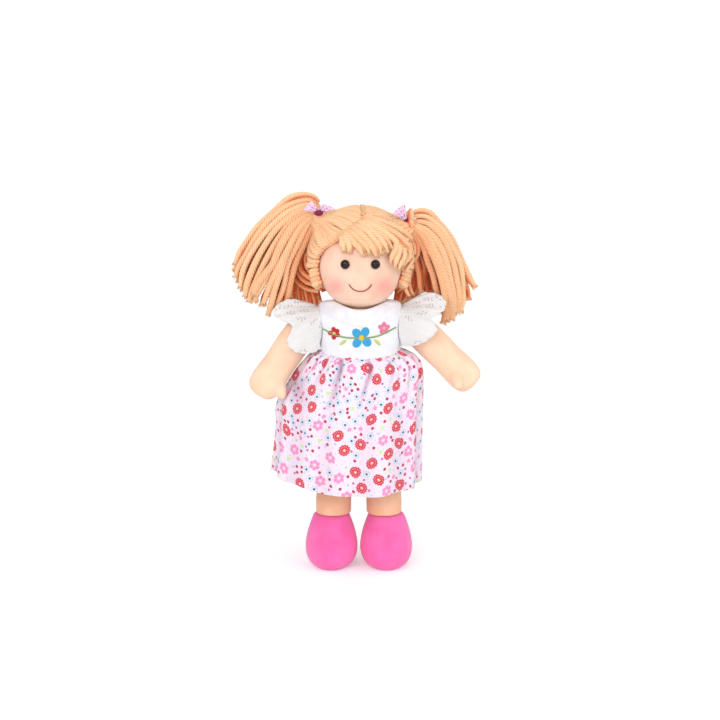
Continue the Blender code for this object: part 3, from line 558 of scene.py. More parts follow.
# %% Body, arms, legs and shoes
stuffed("body_bag", "torso", "torso", limb_skin, 1.8 * mm, 0.25 * mm, rounded=False)
for side in doll_sides:
    for kind, body, slot, material, room, fill in (
            ("arm", "arm", "skin_cotton", limb_skin, 0.45 * mm, 0.7),
            ("leg", "leg", "skin_cotton", shaded_leg_skin, 0.35 * mm, 0.8),
            ("shoe", "leg", "shoe_cotton", shoe_jersey, 0.35 * mm, 0.85)):
        stuffed(f"stuffed_{kind}_{side}", f"{kind}_{side}", f"{body}_{side}", material, 1.2 * mm, room)

# %% [markdown]
# ## The face
# The eyes are black plastic domes pushed through the cloth, and the smile is one line of red-brown thread. A dome is
# a profile turned round its own axis. The thread follows the ball's surface, which an ellipsoid gives in one line.

# %% Face measures
head_middle = 231.1 * mm
head_wide = 32.0 * mm
head_tall = 36.5 * mm


def on_face(x, z, lift=0.0, least=1e-6):
    """The point of the head ball in front of (x, z): y is minus the root of 1 - (x/a)^2 - (z/b)^2, times a."""
    share = 1 - (x / (head_wide + lift)) ** 2 - ((z - head_middle) / (head_tall + lift)) ** 2
    return np.stack([x, -(head_wide + lift) * np.sqrt(np.maximum(share, least)), z], -1)


# %% Eyes
def plastic_finish(name, colour, roughness):
    """Moulded plastic: a clear gloss with faint clouds in its polish."""
    plastic = Finish(name, roughness, specular=0.3, Coat_Weight=0.15, Coat_Roughness=0.08)
    cloud = plastic.noise(plastic.place(), 900.0)
    dark = tuple(0.6 * c for c in colour[:3]) + (1,)
    return plastic.done(cloud.spread(0.3, 0.7).mix(colour, dark), cloud, 0.00005, 0.1)


eye_gloss = plastic_finish("eye_gloss", tone(34, 14, 12), 0.1)
washer_white = plastic_finish("washer_white", tone(228, 225, 216), 0.45)


def turned_piece(name, profile, start, facing, material, sides=48):
    """A profile of (radius, height) pairs turned round the direction facing, from the point start."""
    profile = np.array(profile)
    side = unit(np.cross(facing, (0, 0, 1)))
    round_way = spokes(full_circle(sides), side, np.cross(side, facing))
    rings = start + profile[1:-1, None, :1] * round_way + profile[1:-1, None, 1:] * facing
    poles = [start + profile[0, 1] * facing], [start + profile[-1, 1] * facing]
    points = np.concatenate([rings.reshape(-1, 3), *poles])
    faces, _, _ = grid_faces(len(profile) - 2, sides, True)
    ring = np.arange(sides)
    last = (len(profile) - 3) * sides
    pole = len(points) - 2
    fan = np.stack([ring, (ring + 1) % sides, np.full(sides, pole)], 1)
    end = np.stack([last + (ring + 1) % sides, last + ring, np.full(sides, pole + 1)], 1)
    return new_piece(name, points, faces.tolist() + fan.tolist() + end.tolist(), material, closed=True)


eye_radius = 3.4 * mm
eye_turn = math.asin(10.7 / 32)
stem = [(0.0, -8.2), (0.9, -8.2), (1.1, -7.9), (1.1, 0.0), (0.93 * 3.4, 0.0), (3.4, 0.25), (3.4, 0.6)]
dome = [(eye_radius * math.cos(a), 0.8 * mm + 2.7 * mm * math.sin(a)) for a in np.linspace(0, math.pi / 2, 14)]
eye_profile = [(radius * mm, height * mm) for radius, height in stem] + dome
for side, sign in doll_sides.items():
    facing = np.array([sign * math.sin(eye_turn), -math.cos(eye_turn), 0])
    eye_place = np.array([0, 0, head_middle]) + facing * head_wide
    eye = turned_piece(f"eye_dome_{side}", eye_profile, eye_place, facing, eye_gloss)
    belongs(eye, "head", f"eye_{side}")
    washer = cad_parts[f"eye_washer_{side}"]
    washer.data.materials.clear()
    washer.data.materials.append(washer_white)


# %% Smile
def thread_finish(name, colour, dark):
    """Cotton thread: a slight shine, with painted shade between its twisted strands."""
    thread = Finish(name, 0.55, 0.2)
    fibre = thread.noise(thread.cloth_map(2500.0, 8.0), 1.0)
    return thread.done((thread.mark("groove") * 0.8).mix(colour, dark), fibre, 0.00004, 0.4)


smile_thread = thread_finish("smile_thread", tone(176, 66, 44), tone(112, 34, 24))
smile_half, smile_low, smile_rise = 8.2 * mm, 211.3 * mm, 5.0 * mm
t = np.linspace(-1, 1, 70)
path = on_face(smile_half * t, smile_low + smile_rise * np.abs(t) ** 2.6, 0.30 * mm)
from_middle = path - (0, 0, head_middle)
path = path - from_middle * (1 - soft_step(1 - np.abs(t), 0.0, 0.05)[:, None]) * 0.02
toward = unit(path - (0, 0, head_middle))
smile = single_strand("smile_stitch", path, 0.42 * mm, toward, smile_thread, 12, 2, 1.6 * mm)
belongs(smile, "head")

# %% [markdown]
# ## Yarn hair
# The hair is thick honey-coloured yarn. It is sewn down along a parting, swept over the ball to two elastic ties, and
# hangs from them in bunches that end where the yarn was cut. Particle hair could do this, but it leaves nothing that
# can be exported, so every strand is a path: over the head it bends on an ellipsoid, and in the fringe and bunches it
# follows a line of a few points that were read from the photograph.

# %% Yarn material
def yarn_finish(name, crest, groove_shade, light, deep):
    """Plied yarn: lighter on the crests of the plies, painted shade between them, fine fibres along each ply, and a
    deep orange painted shade where the inner mark says.
    """
    yarn = Finish(name, 0.9, 0.3, (1.0, 0.72, 0.5, 1))
    groove = yarn.mark("groove")
    fibre = yarn.noise(yarn.cloth_map(320.0, 34.0), 1.0, 3.0)
    base = groove.spread(0.35, 1.1).mix(crest, groove_shade)
    base = (fibre.spread(0.4, 0.72) * 0.4).mix(base, light)
    base = (yarn.mark("strand") * 0.28).mix(base, groove_shade)
    return yarn.done(yarn.mark("inner").mix(base, deep), fibre - groove * 0.6, 0.0005, 0.7)


# Colours: the crest, the painted shade between the plies, the fibres, and the deep painted shade.
hair_yarn = yarn_finish("honey_yarn", tone(254, 213, 168), tone(246, 172, 118), tone(255, 234, 202), tone(220, 96, 36))
fringe_yarn = yarn_finish("fringe_yarn", tone(252, 212, 168), tone(246, 176, 122), tone(255, 234, 202),
                          tone(220, 108, 48))

# %% Head under the yarn
cap_size = np.array([40.0, 38.0, 41.7]) * mm
cap_middle = np.array([0, 0, head_middle])


def on_cap(directions, lift):
    """The ellipsoid that the hair lies on, raised by lift: its half sizes times a unit direction."""
    return cap_middle + (cap_size + np.asarray(lift)[..., None]) * unit(directions)


def as_direction(points):
    """The unit direction that leads to a point of the ellipsoid."""
    return unit((np.asarray(points, float) - cap_middle) / cap_size)


def face_gap(x, z):
    """How far inside the face opening a place lies: 1 in its middle, 0 on its edge, a round arch open downwards."""
    wide, tall, middle = 31.5 * mm, 31.0 * mm, 223.0 * mm
    above = np.maximum(z - middle, 0) / tall
    return 1 - (x / wide) ** 2 - above**2


rows, columns = 90, 150
polar = np.linspace(0.02, 0.715 * np.pi, rows)[:, None]
turn = np.linspace(0, 2 * np.pi, columns, endpoint=False)[None]
way = np.stack([np.sin(polar) * np.cos(turn), np.sin(polar) * np.sin(turn), np.cos(polar) * np.ones_like(turn)], -1)
under = on_cap(way, np.full((rows, columns), -4.6 * mm))
faces, corner_rows, corner_columns = grid_faces(rows, columns, True)
middle = under.reshape(-1, 3)[faces].mean(1)
keep = (middle[:, 1] > -1 * mm) | (face_gap(middle[:, 0], middle[:, 2]) < -0.24)
faces, corner_rows, corner_columns = faces[keep], corner_rows[keep], corner_columns[keep]
corner_map = np.stack([corner_rows * 0.001, corner_columns / columns * 9.0], -1)
used, faces = np.unique(faces, return_inverse=True)
count = len(used)
# The backing is coloured as painted shade: groove, strand and inner marks make it the dark seen between the strands.
marks = {"groove": np.full(count, 0.8), "strand": np.full(count, 0.6), "inner": np.full(count, 0.75)}
scalp = new_piece("hair_backing", under.reshape(-1, 3)[used], faces.reshape(-1, 4), hair_yarn, corner_map, marks)
thicken(scalp, 0.8 * mm, -1)
belongs(scalp, "head", "hair_cap")

# %% Where the strands start
tie_places = {"right": np.array([-33.5, 4.1, 264.5]) * mm, "left": np.array([38.0, 4.1, 260.5]) * mm}
tie_ways = {"right": unit(np.array([-1.0, 0.0, 0.26])), "left": unit(np.array([1.0, 0.0, 0.05]))}
hairlines = {
    "right": [(-31.0, -10.5, 215.5), (-32.0, -11, 219), (-32.2, -11, 225), (-30.6, -15, 234), (-26.5, -21, 243),
              (-17.6, -29.5, 250.5), (-8.5, -30, 258), (-0.2, -26.5, 264), (1.3, -10, 272.5), (1.0, 8, 272.5),
              (0.3, 24, 263), (-0.1, 34, 246), (-0.1, 37, 228), (-0.1, 34, 208.5), (-6, 32, 206), (-14, 28, 206.5),
              (-23, 20, 207.5), (-28.5, 9, 208.5), (-31, -3, 212)],
    "left": [(32.0, -10.0, 215.5), (33.4, -10, 219), (33.6, -10, 225), (32.5, -14, 234), (28.5, -22, 243),
             (21, -28, 249), (12, -29, 256.5), (2.6, -27.0, 263.3), (2.4, -10, 272.5), (2.1, 8, 272.5),
             (1.4, 24, 263), (1.0, 34, 246), (1.0, 37, 228), (1.0, 34, 208.5), (7, 32, 206), (15, 28, 206.5),
             (24, 20, 207.5), (29.5, 9, 208.5), (32, -3, 212)],
}


def even_lines(lines, steps):
    """Each line of a few points as a smooth curve in steps of equal length."""
    return np.stack([spaced(np.array(line, float) * mm, steps) for line in lines])


# %% Strands over the head
def swept_strands(side, gap, steps, seed):
    """Strands that bend over the ellipsoid from the hairline to the tie. The direction is a blend of the two ends'
    directions plus a bulge, sin(pi s) high, and near the tie the path leaves the ball for its place in the ring."""
    rng = np.random.default_rng(seed)
    starts = spaced(np.array(hairlines[side]) * mm, gap=gap, fine_steps=2000)
    count = len(starts)
    s = np.linspace(0, 1, steps)[None, :, None]
    first = as_direction(starts)[:, None]
    tie, way = tie_places[side], tie_ways[side]
    goal = as_direction(tie)[None, None]
    low = soft_step(250 * mm - starts[:, 2], 0, 32 * mm)[:, None, None]
    droop = np.array([0.0, 0.30, -0.40]) * low * np.sin(np.pi * s) ** 1.2
    droop = droop * (1 - 0.62 * soft_step(starts[:, 1], 5 * mm, 25 * mm))[:, None, None]
    spin = rng.normal(0, 0.020, (count, 1, 3)) * np.sin(np.pi * s)
    spin = spin + rng.normal(0, 0.010, (count, 1, 3)) * np.sin(2 * np.pi * s)
    bend = first * (1 - s) + goal * s + droop + spin
    heights = (-2.2 + rng.uniform(-0.6, 0.6, (count, 1))) * mm
    parted = np.maximum(soft_step(starts[:, 2], 246 * mm, 251 * mm), soft_step(starts[:, 1], 20 * mm, 30 * mm))
    sink = (3.6 - 2.2 * parted * soft_step(starts[:, 2], 208 * mm, 214 * mm))[:, None] * mm
    lift = heights - sink * (1 - soft_step(s[..., 0], 0.0, 0.15)) + 1.0 * mm * soft_step(s[..., 0], 0.35, 0.9)
    path = on_cap(bend, lift)
    side_way, up_way = np.array([0.0, 1.0, 0.0]), np.cross(way, (0.0, 1.0, 0.0))
    away = path[:, int(steps * 0.55)] - tie
    angle = np.arctan2(away @ up_way, away @ side_way)
    ring = rng.uniform(3.6, 5.8, count) * mm
    place = tie + ring[:, None] * (np.cos(angle)[:, None] * side_way + np.sin(angle)[:, None] * up_way) + way * 1.0 * mm
    pull = soft_step(s, 0.60, 1.0) * np.ones((count, 1, 1))
    path = path + (place[:, None] - path[:, -1:]) * pull
    radii = 2.15 * mm * (1 - 0.34 * soft_step(s[..., 0], 0.6, 1.0)) * rng.uniform(0.88, 1.12, (count, 1))
    # Painted shade: darker at the hairline, where the strands go under, and near the tie.
    depth = 0.30 * (1 - soft_step(s[..., 0], 0.0, 0.05)) + 0.35 * soft_step(s[..., 0], 0.86, 1.0)
    return path, radii, unit(path - cap_middle), depth * np.ones((count, steps))


for side in doll_sides:
    path, radii, guides, depth = swept_strands(side, 3.45 * mm, 54, 5)
    swept = strand_mesh(f"hair_sweep_{side}", path, radii, guides, hair_yarn, 20, 5, -12 * mm, depth, 11,
                        outward=guides)
    belongs(swept, "head")
    print(swept.name, "has", len(path), "strands and", 2 * len(swept.data.polygons), "triangles")


# %% Stitches along the parting
line = spaced(np.array([(-17.0, -29.5, 251), (-8.3, -30, 258.3), (1.2, -26.8, 263.8), (1.9, -10, 272.5),
                             (1.6, 8, 272.5), (0.9, 24, 263), (0.5, 34, 246), (0.5, 37, 228)]) * mm,
              gap=0.4 * mm, fine_steps=2000)
towards = as_direction(line)
aside = unit(np.cross(np.gradient(line, axis=0), towards))
swing = np.arcsin(np.sin(np.arange(len(line)) * full_turn * 0.4 / 4.2)) / (np.pi / 2)
path = on_cap(towards, np.full(len(line), -0.9 * mm)) + aside * swing[:, None] * 1.3 * mm
parting = single_strand("parting_stitches", path, 0.85 * mm, towards, fringe_yarn, 10, 3, -4 * mm)
belongs(parting, "head")


# %% Frayed ends
def frayed_ends(name, paths, radii, each, reach, material, seed):
    """Thin wisps at the cut ends: each starts inside its strand's last ring and leans outwards as it goes on."""
    rng = np.random.default_rng(seed)
    tip, back = paths[:, -1], paths[:, -4]
    way = unit(tip - back)
    side = unit(np.cross(way, (0.31, 0.92, 0.2)))
    up = np.cross(way, side)
    count = len(paths)
    a = rng.uniform(0, 2 * np.pi, (count, each))
    r = np.sqrt(rng.uniform(0.05, 1, (count, each))) * radii[:, -1:] * 0.85
    spoke = np.cos(a)[..., None] * side[:, None] + np.sin(a)[..., None] * up[:, None]
    root = tip[:, None] + spoke * r[..., None] - way[:, None] * 1.2 * mm
    s = np.linspace(0, 1, 7)[None, None, :, None]
    long = rng.uniform(0.55, 1.0, (count, each, 1, 1)) * reach
    lean = rng.uniform(0.15, 0.55, (count, each, 1, 1)) * long
    wisp = root[:, :, None] + way[:, None, None] * long * s + spoke[:, :, None] * lean * s**2
    wisp = wisp.reshape(-1, 7, 3) + wander(count * each, 7, 0.16 * mm, seed) * s[0]
    thick = np.linspace(0.42, 0.12, 7)[None] * mm * np.ones((count * each, 1))
    guide = np.repeat(side, each, 0)[:, None] * np.ones((1, 7, 1))
    return strand_mesh(name, wisp, thick, guide, material, 5, 1, 9 * mm, None, seed, 0.0)


# %% Fringe
fringe_lines = [
    [(-14.2, 251.0, 2.2), (-13.1, 247.0, 3.4), (-12.7, 243.5, 3.0), (-12.4, 240.7, 2.4)],
    [(-13.1, 252.4, 2.2), (-10.6, 248.5, 3.6), (-8.8, 244.3, 3.2), (-8.8, 240.1, 2.6)],
    [(-11.3, 253.8, 2.0), (-7.4, 249.9, 3.8), (-3.1, 245.5, 3.4), (0.5, 241.6, 3.0), (1.9, 238.1, 2.5)],
    [(-9.2, 255.3, 2.0), (-3.8, 251.7, 4.2), (1.2, 247.2, 3.8), (4.8, 243.0, 3.4), (6.2, 239.4, 2.7)],
    [(-6.7, 257.0, 2.0), (-0.2, 253.8, 4.6), (5.5, 248.6, 4.2), (9.1, 242.6, 3.6), (11.6, 237.2, 2.8)],
    [(-4.2, 258.7, 2.0), (3.4, 255.2, 5.0), (9.1, 250.0, 4.6), (13.4, 244.3, 4.0), (15.5, 239.2, 3.0)],
    [(-2.0, 260.5, 2.0), (5.5, 257.3, 5.2), (11.9, 251.7, 5.0), (17.0, 244.9, 4.2), (19.2, 239.8, 3.2)],
    [(-0.2, 261.5, 2.0), (7.7, 258.6, 5.4), (14.8, 253.3, 5.4), (19.9, 247.6, 4.8), (22.8, 242.8, 4.2)],
    [(1.9, 261.8, 2.2), (11.2, 258.2, 5.8), (19.1, 252.9, 6.0), (25.0, 247.4, 5.8), (27.2, 241.5, 5.0),
     (25.0, 236.7, 4.2)],
    [(3.0, 262.8, 2.2), (12.7, 259.6, 5.8), (22.1, 254.8, 6.4), (30.2, 248.8, 7.0), (34.7, 242.3, 7.0),
     (35.5, 235.0, 6.4), (30.9, 229.1, 5.4)],
    [(4.1, 264.1, 2.2), (14.2, 261.5, 5.6), (24.3, 257.4, 6.6), (33.3, 251.9, 8.0), (38.9, 244.2, 8.4),
     (39.6, 236.2, 7.8), (36.3, 229.9, 6.8), (32.5, 225.2, 5.8)],
    [(25.7, 245.9, 5.6), (24.9, 241.7, 5.4), (22.7, 237.6, 5.0), (21.7, 233.3, 4.0)],
    [(28.6, 244.4, 6.6), (27.9, 239.5, 6.2), (25.7, 234.7, 5.6), (24.6, 229.6, 4.6)],
    [(31.6, 242.1, 7.6), (31.6, 236.4, 7.0), (29.0, 231.6, 6.2), (27.6, 227.2, 5.0)],
]


def fringe_strands(shift, rise, seed, steps=44):
    """Short strands from the parting to the forehead. Each follows its line in front view, at its own height over
    the head ball, so its depth is that of an ellipsoid as much larger: y is -w times the root of
    1 - (x/w)^2 - (z/t)^2."""
    rng = np.random.default_rng(seed)
    flat = even_lines(fringe_lines, steps)
    count = len(flat)
    s = np.linspace(0, 1, steps)[None]
    lift = flat[..., 2] + rise * mm * soft_step(s, 0, 0.25) + rng.uniform(-0.3, 0.3, (count, 1)) * mm
    flat = flat[..., :2] + np.array(shift) * mm + rng.normal(0, 0.3 * mm, (count, 1, 2))
    wide, tall = head_wide + lift, head_tall + lift
    share = np.maximum(1 - (flat[..., 0] / wide) ** 2 - ((flat[..., 1] - head_middle) / tall) ** 2, 0.0)
    path = np.stack([flat[..., 0], -wide * np.sqrt(share), flat[..., 1]], -1) + wander(count, steps, 0.2 * mm, seed + 1)
    radii = 2.3 * mm * (1 - 0.5 * soft_step(s, 0.70, 1.0)) * rng.uniform(0.88, 1.1, (count, 1))
    # Painted shade: darker at the parting, and all along the lower layer, which lies under the upper one.
    depth = 0.30 * (1 - soft_step(s, 0.0, 0.10)) * np.ones((count, 1)) + 0.25 * (rise < 0)
    return path, radii, unit(path - cap_middle), depth


upper = fringe_strands((0, 0), 0.0, 21)
lower = fringe_strands((2.2, 0.6), -1.6, 23)
path, radii, guides, depth = [np.concatenate(pair) for pair in zip(upper, lower)]
fringe = strand_mesh("fringe_strands", path, radii, guides, fringe_yarn, 20, 5, -13 * mm, depth, 12, 0.14, guides)
fringe_ends = frayed_ends("fringe_ends", path, radii, 26, 3.2 * mm, fringe_yarn, 14)
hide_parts("fringe")
for piece in (fringe, fringe_ends):
    belongs(piece, "head")

# %% [markdown]
# ## The two bunches
# Each bunch fans out of its tie, arches over and hangs. The strands that show in front are given one by one, as
# lines in front view. The same lines, moved half a strand, make a layer in the middle, darkened with painted shade,
# and one at the back.

# %% Lines of the front strands
bunch_lines = {
    "right": [
        [(-30.9, 274.4), (-33.8, 278.0), (-39.7, 279.8), (-46.2, 279.1), (-52.1, 276.9), (-57.2, 273.3), (-63.2, 267.8),
         (-69.1, 262.0), (-75.8, 255.4), (-81.0, 248.9), (-86.3, 240.8), (-90.4, 233.5), (-93.0, 227.8)],
        [(-31.7, 272.9), (-38.2, 275.4), (-45.5, 274.4), (-52.9, 271.5), (-60.2, 266.4), (-67.6, 259.8),
         (-74.3, 251.8), (-80.3, 243.4), (-85.6, 234.2), (-90.2, 225.4), (-92.0, 219.5)],
        [(-31.7, 271.5), (-39.0, 272.5), (-47.8, 270.0), (-56.6, 264.9), (-64.0, 258.4), (-71.4, 250.0),
         (-78.2, 240.4), (-83.1, 230.5), (-86.9, 220.2), (-88.9, 212.0)],
        [(-31.7, 270.0), (-39.7, 269.6), (-48.5, 266.0), (-55.9, 260.2), (-62.6, 253.3), (-68.9, 244.5),
         (-74.6, 234.9), (-79.5, 224.6), (-83.3, 214.3), (-85.3, 205.4)],
        [(-31.7, 268.9), (-40.5, 266.7), (-48.6, 261.6), (-55.2, 254.7), (-61.2, 246.7), (-66.4, 237.5),
         (-71.7, 227.9), (-77.0, 217.2), (-80.8, 207.6), (-82.0, 201.7)],
        [(-31.7, 267.8), (-39.8, 264.2), (-46.4, 258.4), (-52.3, 251.1), (-57.6, 242.3), (-62.5, 232.4),
         (-67.4, 222.4), (-72.3, 213.5), (-76.4, 206.1), (-78.0, 201.7)],
        [(-31.7, 267.1), (-38.3, 262.4), (-44.2, 255.4), (-49.4, 247.0), (-53.6, 237.9), (-57.3, 227.9),
         (-60.8, 218.0), (-64.2, 207.6), (-67.3, 197.9), (-68.8, 191.8)],
        [(-31.7, 266.4), (-36.9, 260.6), (-41.7, 252.9), (-45.8, 244.5), (-49.9, 235.7), (-53.3, 226.8),
         (-56.0, 217.2), (-58.7, 208.3), (-61.7, 200.2)],
        [(-31.3, 265.3), (-35.0, 258.4), (-38.8, 250.3), (-42.5, 242.3), (-46.2, 233.8), (-49.3, 225.4),
         (-51.9, 216.5), (-54.2, 207.6), (-56.2, 200.4)],
        [(-31.7, 267.1), (-40.5, 264.2), (-49.3, 257.3), (-56.0, 248.1), (-60.2, 239.3), (-63.9, 230.5),
         (-69.6, 222.4), (-74.8, 215.4), (-78.6, 207.6)],
        [(-31.7, 266.7), (-39.0, 262.0), (-47.2, 252.5), (-52.4, 242.3), (-56.9, 233.5), (-61.8, 223.9),
         (-66.0, 214.3), (-69.4, 206.1), (-71.7, 200.2)],
    ],
    "left": [
        [(34.2, 262.0), (38.6, 266.0), (44.4, 267.8), (51.0, 266.0), (56.9, 260.2), (63.6, 252.2), (69.6, 243.4),
         (74.1, 234.2), (77.9, 225.4), (81.7, 217.2), (85.2, 211.3)],
        [(35.0, 260.9), (40.8, 263.5), (48.1, 263.5), (55.5, 258.7), (62.2, 251.1), (67.4, 241.9), (71.6, 232.0),
         (74.7, 220.9), (76.3, 209.8), (77.2, 200.9), (76.1, 194.2)],
        [(35.7, 259.8), (42.3, 260.2), (49.6, 258.7), (56.3, 253.3), (61.9, 245.6), (66.0, 236.4), (69.5, 226.1),
         (71.8, 215.0), (73.4, 203.9), (73.6, 192.7)],
        [(36.4, 258.7), (43.0, 256.9), (49.7, 253.3), (55.2, 246.7), (59.7, 237.9), (63.5, 228.3), (66.6, 217.2),
         (69.0, 206.1), (69.8, 195.7), (68.8, 187.7)],
        [(36.4, 257.6), (42.7, 253.3), (47.5, 247.4), (51.6, 239.3), (55.4, 230.5), (58.8, 220.9), (61.9, 210.6),
         (63.8, 200.2), (64.1, 191.5), (63.0, 185.2)],
        [(36.4, 256.5), (41.3, 250.7), (45.3, 243.7), (48.7, 235.7), (51.7, 227.6), (54.8, 218.7), (57.1, 210.6),
         (58.6, 202.4)],
        [(35.7, 255.4), (38.3, 248.9), (40.2, 240.8), (41.8, 232.0), (43.3, 223.1), (44.8, 214.3), (45.6, 207.6)],
        [(36.4, 258.0), (43.1, 255.1), (49.7, 249.6), (54.2, 241.5), (58.3, 232.7), (62.1, 223.1), (64.8, 212.8),
         (66.8, 202.4), (66.5, 194.0), (64.9, 187.2)],
    ],
}
front_shares = {
    "right": [0.10, 0.38, 0.62, 0.82, 0.92, 0.98, 1.16, 1.0, 0.72, 1.26, 1.2],
    "left": [0.10, 0.45, 0.75, 0.95, 1.1, 0.75, 0.35, 1.2],
}
# Painted shade on each front strand, darkest on those that lie near the face.
front_shades = {
    "right": [0, 0, 0, 0, 0, 0.05, 0.1, 0.15, 0.3, 0.1, 0.1],
    "left": [0, 0, 0.05, 0.1, 0.2, 0.32, 0.5, 0.18],
}
regular = {"right": 9, "left": 7}
bunch_depths = [4.4, 8.5, 12.0, 13.4, 12.6, 10.5]
bunch_centres = [4, 5, 6.5, 8, 9, 9.5]
even_steps = [0, 0.2, 0.4, 0.6, 0.8, 1]


def bunch_layer(side, place, steps, seed):
    """One layer of a bunch. place is -1 in front, 0 in the middle and 1 at the back, and a strand's depth is the
    bunch's own middle plus place times its half depth times the strand's share. Other layers lie half a strand on.
    The left bunch hangs lower, so its ends lie further back, where the raised arm passes in front of them."""
    rng = np.random.default_rng(seed)
    flat = even_lines(bunch_lines[side], steps)
    shares, shades = np.array(front_shares[side]), np.array(front_shades[side])
    if place >= 0:
        flat, shares = flat[:regular[side]], shares[:regular[side]]
        extra = flat[:1] * 0.5 + flat[1:2] * 0.5
        flat = np.concatenate([extra, (flat[:-1] + flat[1:]) / 2])
        shares = np.concatenate([shares[:1], (shares[:-1] + shares[1:]) / 2])
        # The middle layer gets painted shade; the back layer none.
        shades = np.full(len(flat), 0.42 * (place == 0))
    count = len(flat)
    s = np.linspace(0, 1, steps)
    half = soft_curve(s, even_steps, np.array(bunch_depths) * mm)
    centre = soft_curve(s, even_steps, np.array(bunch_centres) * mm)
    y = centre + place * shares[:, None] * half + (place == 0) * rng.uniform(-4, 4, (count, 1)) * mm * s
    if side == "left":
        y = y + soft_step(207 * mm - flat[..., 1], 0, 17 * mm) * np.maximum(0, 6.5 * mm - y)
    path = np.stack([flat[..., 0], y, flat[..., 1]], -1)
    from_middle = flat - flat.mean(0)
    outward = np.stack([from_middle[..., 0], (y - centre) * 1.6, from_middle[..., 1]], -1)
    loose = soft_step(s, 0.08, 0.5)[None, :, None]
    path = path + wander(count, steps, (0.45 if place < 0 else 0.9) * mm, seed + 3) * loose
    thick = rng.uniform(2.3, 3.05, (count, 1)) * (1 + 0.05 * np.sin(9 * s + rng.uniform(0, 6, (count, 1))))
    radii = (1.7 + (thick - 1.7) * soft_step(s, 0.02, 0.30)) * (1 - 0.22 * soft_step(s, 0.9, 1.0)) * mm
    # Painted shade from shades, and more near the tie.
    depth = shades[:, None] * soft_step(s, 0.0, 0.2) + 0.40 * (1 - soft_step(s, 0.0, 0.09))
    return path, radii, np.broadcast_to(np.array([0.0, 1.0, 0.0]), path.shape), depth, unit(outward)


for side in doll_sides:
    layers = [bunch_layer(side, -1, 96, 31), bunch_layer(side, 0, 96, 37), bunch_layer(side, 1, 96, 43)]
    path, radii, guides, depth, outward = [np.concatenate(pair) for pair in zip(*layers)]
    bunch = strand_mesh(f"bunch_yarn_{side}", path, radii, guides, hair_yarn, 24, 6, -16 * mm, depth, 41,
                        outward=outward)
    ends = frayed_ends(f"bunch_ends_{side}", path, radii, 34, 3.9 * mm, hair_yarn, 47)
    for piece in (bunch, ends):
        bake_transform(piece)
    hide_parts(f"hair_bunch_{side}")
    print(bunch.name, "has", len(path), "strands and", 2 * len(bunch.data.polygons), "triangles")

